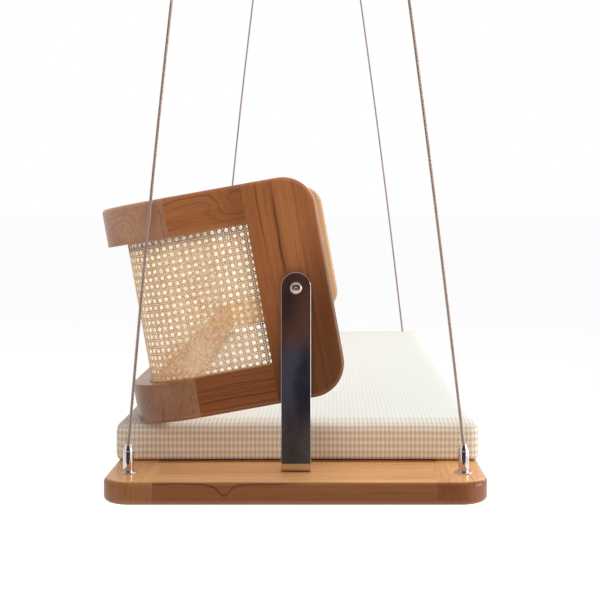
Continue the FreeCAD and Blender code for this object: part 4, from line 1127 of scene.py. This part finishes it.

# Rows with a way, two levels and a share after their streaks carry painted shade: on the seat's faces
# below the top, low on the near post, at one end of the near top side rail and on one side of the near
# top corner.
timber = {
    "seat_end_right": ("seat end", ALONG_SEAT, (0.012, 0.94, 0.092), BENCH, 0.014, 0.35, 0.45, 0.5,
                       (DOWN, -0.0919, -0.0895, 0.78), SEAT_LINE),
    "seat_end_left": ("seat end left", ALONG_SEAT, (-0.188, -0.94, 0.092), SUNLIT, 0.012, 0.4, 0.6),
    "seat_rail_back": ("seat rail back", ALONG_BENCH, (0.4, 0.268, 0.072), BENCH, 0.010, 0.4, 0.5,
                       0.5, (DOWN, -0.0719, -0.0695, 0.68)),
    "seat_rail_front": ("seat rail front", ALONG_BENCH, (0.7, -0.322, 0.062), BENCH, 0.010, 0.4, 0.6,
                        0.5, (DOWN, -0.0619, -0.0595, 0.84)),
    "backrest_post_right": ("post right", UP_THE_POST, (-0.952, 0.86, 0.495), ORANGE, 0.011, 0.32,
                            0.45, 0.8, ((0.6, 0.0, 0.8), 0.020, -0.100, 0.74), POST_LINE),
    "backrest_post_left": ("post left", UP_THE_POST, (-0.252, -0.77, 0.495), FAR_SIDE_LIT, 0.016, 0.5,
                           0.6, 0.6),
    "backrest_side_top_right": ("top side right", ALONG_SIDE, (-0.095, 0.86, -0.432), ORANGE, 0.010,
                                1.0, 0.7, 0.6, ((1.0, 0.0, 0.0), -0.150, -0.115, 0.25), None,
                                0.15, ((-0.118, 0.0, 0.052), 2.6)),
    "backrest_side_top_left": ("top side left", ALONG_SIDE, (0.405, -0.86, -0.432), SUNLIT, 0.010,
                               0.9, 0.6),
    "backrest_side_bottom_right": ("bottom side right", ALONG_SIDE, (0.305, 0.84, 0.048), SHADED_TEAK,
                                   0.011, 0.28, 1.0, 0.7),
    "backrest_side_bottom_left": ("bottom side left", ALONG_SIDE, (0.605, -0.84, 0.048), FAR_LIT_PALE,
                                  0.009, 0.35, 0.8, 0.6),
    "backrest_corner_top_right": ("corner top right", ALONG_BENCH, (0.3, -0.312, -0.408), DUSTY,
                                  0.012, 0.6, 0.5, 0.5, ((0.0, -1.0, 0.0), 0.058, 0.096, 0.35),
                                  None, 0.15),
    "backrest_corner_top_left": ("corner top left", ALONG_BENCH, (0.9, -0.362, -0.468), SUNLIT,
                                 0.012, 0.6, 0.3),
    "backrest_corner_bottom_right": ("corner bottom right", ALONG_BENCH, (0.5, -0.312, -0.118),
                                     PLUM, 0.012, 0.6, 0.4),
    "backrest_corner_bottom_left": ("corner bottom left", ALONG_BENCH, (1.1, -0.312, -0.118), FAR_LIT_PALE,
                                    0.012, 0.6, 0.3),
    "backrest_rail_top": ("back rail top", ALONG_BENCH, (0.2, -0.342, -0.448), WARM, 0.011, 0.6, 0.6),
    "backrest_rail_bottom": ("back rail bottom", ALONG_BENCH, (0.6, -0.342, -0.098), WARM, 0.011,
                             0.5, 0.6),
    "seat_deck": ("deck panel", ALONG_BENCH, (0.1, 0.488, 0.182), WARM, 0.016, 0.8, 0.4, 0.3),
    "seat_brace_1": ("brace one", ALONG_SEAT, (0.212, 0.3, 0.062), WARM, 0.010, 0.5, 0.5, 0.4),
    "seat_brace_2": ("brace two", ALONG_SEAT, (0.512, 0.1, 0.072), WARM, 0.011, 0.5, 0.5, 0.4),
    "seat_brace_3": ("brace three", ALONG_SEAT, (0.812, -0.3, 0.082), WARM, 0.010, 0.5, 0.5, 0.4),
}
for node_name, recipe in timber.items():
    dress(teak_material(*recipe), solids(node_name))
dress(teak_material("dowel wood", ALONG_SIDE, (-0.195, 0.0, -1.152), DOWEL, 0.003, 0.3, 0.4),
      solids("rail_dowels", "seat_dowels"))
print(len(timber), "boards of teak")

# %% [markdown]
# ## Polished steel and chrome
# The arms are mirror-polished stainless bar, the ferrules and bolt heads are chromed. Both
# are bright metals that hardly have a colour: what one sees is the room. A mirror that is
# perfectly smooth looks like a hole in the picture, so a soft noise makes the polish a little
# uneven, and a fine brushing runs along the bar.

# %% Metals
BRUSHING = (900.0, 900.0, 18.0)


def make_polish():
    group, take, stop = new_group("polish", ["Place"], [], {"Smooth": 0.05, "Hazy": 0.12},
                                  {"Dullness": FLOAT, "Relief": FLOAT})
    cloud = noise(take["Place"], 38.0, 3.0, 0.6)
    brushed = noise(stretched(take["Place"], *BRUSHING), 1.0) * 0.2
    dull = between(cloud, 0.35, 0.7) * 0.8 + brushed
    feed(stop, {"Dullness": between(dull, 0.0, 1.0, take["Smooth"], take["Hazy"], "LINEAR"),
                "Relief": cloud * 0.8 + brushed})
    return group


polish = make_polish()


def metal(name, colour, smooth, hazy):
    """A bright metal with uneven polish, its roughness between smooth and hazy."""
    material, tree, shader = new_material(name, Metallic=1.0, Base_Color=shade(*colour))
    made = use_group(tree, polish, {"Place": object_place(tree), "Smooth": smooth, "Hazy": hazy})
    feed(shader, {"Roughness": made["Dullness"]})
    bump(shader, made["Relief"], distance=0.00003, strength=0.5)
    return material


plated = ["hanger_pins", "pin_rings", "rope_washers_underside", "rope_nuts", "arm_screws",
          "deck_screws", "pivot_inserts", "pivot_washers",
          *[f"{kind}_{s}_{e}" for kind in ("hanger", "rope_eye") for s in SIDES for e in ENDS]]
dress(metal("mirror steel", (214, 212, 210), smooth=0.03, hazy=0.08), solids("arm_right", "arm_left"))
dress(metal("chrome", (206, 198, 200), smooth=0.05, hazy=0.12), ferrules)
dress(metal("bolt steel", (176, 160, 150), smooth=0.18, hazy=0.28), bolts)
dress(metal("zinc plate", (178, 180, 184), smooth=0.28, hazy=0.45), solids(*plated))
dress(metal("rope wire", (172, 152, 142), smooth=0.30, hazy=0.45), ropes)
dress(metal("bush bronze", (184, 146, 92), smooth=0.22, hazy=0.38), solids("pivot_bushes"))
print("metal on", len(plated), "plated nodes,", len(ferrules), "ferrule pieces,", len(ropes), "ropes")

# %% [markdown]
# ## Cane and reed
# Cane is the shiny skin of rattan, straw coloured, and each strand is a little lighter or
# darker than the next. Its back is the pale pith of the plant. So the flat face of each
# ribbon was marked with an attribute when the ribbons were made, and the finish mixes the
# pith's colour in there. A second material could do it too, but one attribute is simpler.
# Beside the top rails and the posts the cane is painted darker: painted shade, where the rails and posts
# shade it.

# %% Cane and reed finishes
# Painted shade on the cane beside the top rails and the posts: its colour and its share.
CANE_SHADE = shade(120, 84, 58)
CANE_SHADE_SHARE = 0.62
NEAR_RAIL = (0.094, 0.122)
NEAR_POST = (-0.090, -0.064)


def make_straw():
    group, take, stop = new_group("straw", ["Place"], ["Pale", "Dark"], {},
                                  {"Colour": COLOUR, "Relief": FLOAT})
    place = take["Place"]
    tone = noise(place, 170.0, 2.0, 0.6) * 0.65 + noise(place, 21.0) * 0.35
    feed(stop, {"Colour": mixed(between(tone, 0.32, 0.68), take["Pale"], take["Dark"]),
                "Relief": noise(place, 1400.0)})
    return group


straw = make_straw()


def near_border(tree):
    """How near a place on the cane is to a top rail or a post, from 0 to 1. The place is
    turned into the backrest's own frame, with its zero at the pivot."""
    home = Euler(ALONG_SIDE).to_matrix() @ Vector(PIVOT)
    along, _, up = parts(object_place(tree, ALONG_SIDE, tuple(-home)))
    return between(up, *NEAR_RAIL).math("MAXIMUM", between(along, *NEAR_POST))


def straw_material(name, pale, dark, roughness, pith=None):
    """Cane or reed with its own two tones, and the pith's where a face is marked with it."""
    material, tree, shader = new_material(name, Roughness=roughness, Specular_IOR_Level=0.45)
    made = use_group(tree, straw, {"Place": object_place(tree), "Pale": shade(*pale),
                                   "Dark": shade(*dark)})
    colour = made["Colour"]
    if pith is not None:
        marked = got(tree, "ShaderNodeAttribute", out="Fac", attribute_name="pith")
        colour = mixed(marked, colour, shade(*pith))
        # Painted shade: the cane turns darker beside the top rails and the posts.
        colour = mixed(near_border(tree) * CANE_SHADE_SHARE, colour, CANE_SHADE)
    feed(shader, {"Base Color": colour})
    bump(shader, made["Relief"], distance=0.00008, strength=0.5)
    return material


dress(straw_material("woven cane", (254, 222, 176), (228, 172, 122), roughness=0.42,
                     pith=(254, 244, 218)), cane_pieces)
dress(straw_material("reed", (222, 178, 118), (190, 142, 86), roughness=0.5), reeds)
print("cane and reed dressed")

# %% [markdown]
# ## Check cloth
# The cover is a small houndstooth: four pale and four tan threads each way, woven over two
# and under two. That weave itself makes the broken check, so the group works it out thread by
# thread. With thread numbers i and j, the warp shows where (i - j) mod 4 is under 2, else the
# weft, and a thread is tan where its number mod 8 is under 4.

# %% Weave the cloth
CHECK_WIDE = 0.0077
CHECK_TALL = 0.0118
THREADS = 8.0
# Where along the bench the painted shade near the ends of the top begins and where it is full.
END_SHADE_STRIP = (0.676, 0.700)
# The painted contact shadow along the cover's foot: its span in height and its share.
FOOT_SHADOW_SPAN = (SEAT_TOP + 0.0016, SEAT_TOP + 0.0034)
FOOT_SHADOW_SHARE = 0.85


def make_houndstooth():
    group, take, stop = new_group(
        "houndstooth", ["Place"], ["Ground", "Figure"], {"Wide": CHECK_WIDE, "Tall": CHECK_TALL},
        {"Colour": COLOUR, "Relief": FLOAT})
    along, up, _ = parts(take["Place"])
    threads = along * THREADS / take["Wide"], up * THREADS / take["Tall"]
    i, j = (number.math("FLOOR") for number in threads)
    warp_up = (i - j).math("FLOORED_MODULO", THREADS / 2).math("LESS_THAN", THREADS / 4)

    def woven(warp, weft):
        return warp_up * warp + (1.0 - warp_up) * weft

    tan = woven(*[n.math("FLOORED_MODULO", THREADS).math("LESS_THAN", THREADS / 2) for n in (i, j)])
    ridges = woven(*[(number.math("FRACT") * math.pi).math("SINE") for number in threads])
    fluff = between(noise(take["Place"], 420.0), 0.35, 0.75, 0.0, 0.12)
    colour = mixed(fluff, mixed(tan, take["Ground"], take["Figure"]), take["Ground"])
    feed(stop, {"Colour": colour, "Relief": ridges})
    return group


houndstooth = make_houndstooth()


def cloth_material(name, ground, figure, end_shade_figure=None):
    """Cotton in the check, on the cover's own cut places.

    The lowest 3 mm of the cover lie in the dark against the seat: a painted contact shadow in dark
    brown.
    """
    material, tree, shader = new_material(name, Roughness=0.85, Sheen_Weight=0.2,
                                          Sheen_Roughness=0.4, Specular_IOR_Level=0.2)
    _, along, height = parts(object_place(tree))
    figure = shade(*figure)
    # Painted shade: near both ends of the top the figure turns darker, where the top rounds over.
    if end_shade_figure is not None:
        figure = mixed(between(along.math("ABSOLUTE"), *END_SHADE_STRIP), figure, shade(*end_shade_figure))
    made = use_group(tree, houndstooth, {
        "Place": got(tree, "ShaderNodeUVMap", uv_map="cloth"), "Wide": CHECK_WIDE,
        "Tall": CHECK_TALL, "Ground": shade(*ground), "Figure": figure})
    # Painted contact shadow along the foot of the cover.
    foot = between(height, *FOOT_SHADOW_SPAN, FOOT_SHADOW_SHARE, 0.0)
    feed(shader, {"Base Color": mixed(foot, made["Colour"], LINE_AND_SHADOW_BROWN)})
    bump(shader, made["Relief"], distance=0.0002, strength=0.6)
    return material


# The top's cloth is a paler copy of the band's cloth: painted light from above.
band_cloth = cloth_material("check cloth band", (250, 246, 236), (226, 192, 150))
lit_top_cloth = cloth_material("check cloth top painted light", (238, 243, 240), (228, 226, 214), (216, 196, 168))
for slot, cloth in zip(pad.material_slots, (band_cloth, lit_top_cloth)):
    slot.material = cloth
print("cover dressed:", [m.name for m in pad.data.materials])

# %% [markdown]
# ## Studio
# The picture was taken against a white sweep. The floor is a pale plane well below the bench.
# A dark card stands behind the camera, where only reflections see it: it is what gives the
# polished arms their dark middle, as the dim side of a studio does. Large soft lamps light
# the bench from above, from the camera's side and from the front.

# %% Floor and card
FLOOR_Z = -2.005
FLOOR_GLOW = 0.64
FLOOR_HALF = 90.0
CARD_Y, CARD_HALF, CARD_TOP, CARD_LIFT = -3.35, 2.3, 0.7, 0.01
SLATE_BELOW = (SEAT_TOP - 0.152, SEAT_TOP - 0.032)
BROWN_BELOW = (SEAT_TOP - 0.452, SEAT_TOP - 0.292)
PATCHES = (13.0, 1.0, 3.4)
SQUARE = ((-1, -1), (1, -1), (1, 1), (-1, 1))


def plane_piece(name, corners, material):
    """A flat sheet of the studio from its four corners."""
    mesh = bpy.data.meshes.new(name)
    mesh.from_pydata(corners, [], [(0, 1, 2, 3)])
    made = linked(name, mesh)
    made.data.materials.append(material)
    return made


def seen_by(tree, *rays):
    """1 for the kinds of rays named, else 0."""
    path = add(tree, "ShaderNodeLightPath").outputs
    seen = Value(path[f"Is {rays[0]} Ray"])
    for ray in rays[1:]:
        seen = seen.math("MAXIMUM", Value(path[f"Is {ray} Ray"]))
    return seen


def floor_material():
    """Pale floor that takes shadows and shows almost white to the camera."""
    material, tree, shader = new_material("studio floor", Roughness=0.9, Specular_IOR_Level=0.1,
                                          Base_Color=shade(246, 246, 246), Emission_Color=WHITE)
    feed(shader, {"Emission Strength": seen_by(tree, "Camera", "Glossy") * FLOOR_GLOW})
    return material


def card_material():
    """Dark card: brown above, slate below it and brown again at its foot, in soft patches."""
    material, tree, shader = new_material("dark card", Roughness=1.0, Specular_IOR_Level=0.0,
                                          Base_Color=BLACK, Emission_Strength=1.0)
    place = object_place(tree)
    height = parts(place)[2]
    colour = mixed(between(height, *SLATE_BELOW), shade(74, 72, 84), shade(98, 66, 54))
    colour = mixed(between(height, *BROWN_BELOW), shade(86, 74, 68), colour)
    patches = noise(stretched(place, *PATCHES), 1.0, 3.0)
    colour = mixed(between(patches, 0.42, 0.66, 0.0, 0.75), colour, shade(24, 24, 34))
    feed(shader, {"Emission Color": colour})
    return material


plane_piece("studio_floor", [(x * FLOOR_HALF, y * FLOOR_HALF, FLOOR_Z) for x, y in SQUARE],
            floor_material())
card_low = FLOOR_Z + CARD_LIFT
card = plane_piece("dark_card", [(x * CARD_HALF, CARD_Y, z) for x, z in
                                 ((-1, card_low), (-1, CARD_TOP), (1, CARD_TOP), (1, card_low))],
                   card_material())
for ray in ("visible_camera", "visible_diffuse", "visible_shadow", "visible_transmission"):
    setattr(card, ray, False)

# %% Lamps
def lamp(name, place, aim, size, power, in_reflections=False):
    """A square soft lamp that faces its aim."""
    data = bpy.data.lights.new(name, "AREA")
    data.shape, data.size, data.energy = "SQUARE", size, power
    made = linked(name, data)
    made.location = place
    made.rotation_euler = (Vector(aim) - Vector(place)).to_track_quat("-Z", "Y").to_euler()
    made.visible_camera = False
    made.visible_glossy = in_reflections


lamp("overhead", (0.3, -0.3, 2.2), (0.0, -0.1, -1.1), size=3.2, power=72)
lamp("camera_side", (-1.6, -4.2, 0.6), (0.0, -0.6, -1.0), size=2.4, power=25)
lamp("far_side", (2.4, 1.8, 0.5), (0.0, 0.2, -1.0), size=2.2, power=47, in_reflections=True)
lamp("near_side", (3.0, -1.1, -0.9), (0.0, -0.8, -0.9), size=1.6, power=50, in_reflections=True)

# %% World
WORLD_FILL = 0.33


def make_world():
    """White to the camera and in reflections, a softer white for the light that it gives."""
    world = bpy.data.worlds.new("white sweep")
    bpy.context.scene.world = world
    world.use_nodes = True
    tree = world.node_tree
    seen = seen_by(tree, "Camera", "Glossy", "Transmission")
    feed(tree.nodes["Background"],
         {"Color": WHITE, "Strength": between(seen, 0.0, 1.0, WORLD_FILL, 1.0, "LINEAR")})


make_world()
bpy.context.scene.view_settings.view_transform = "Standard"
print("world fill:", WORLD_FILL)
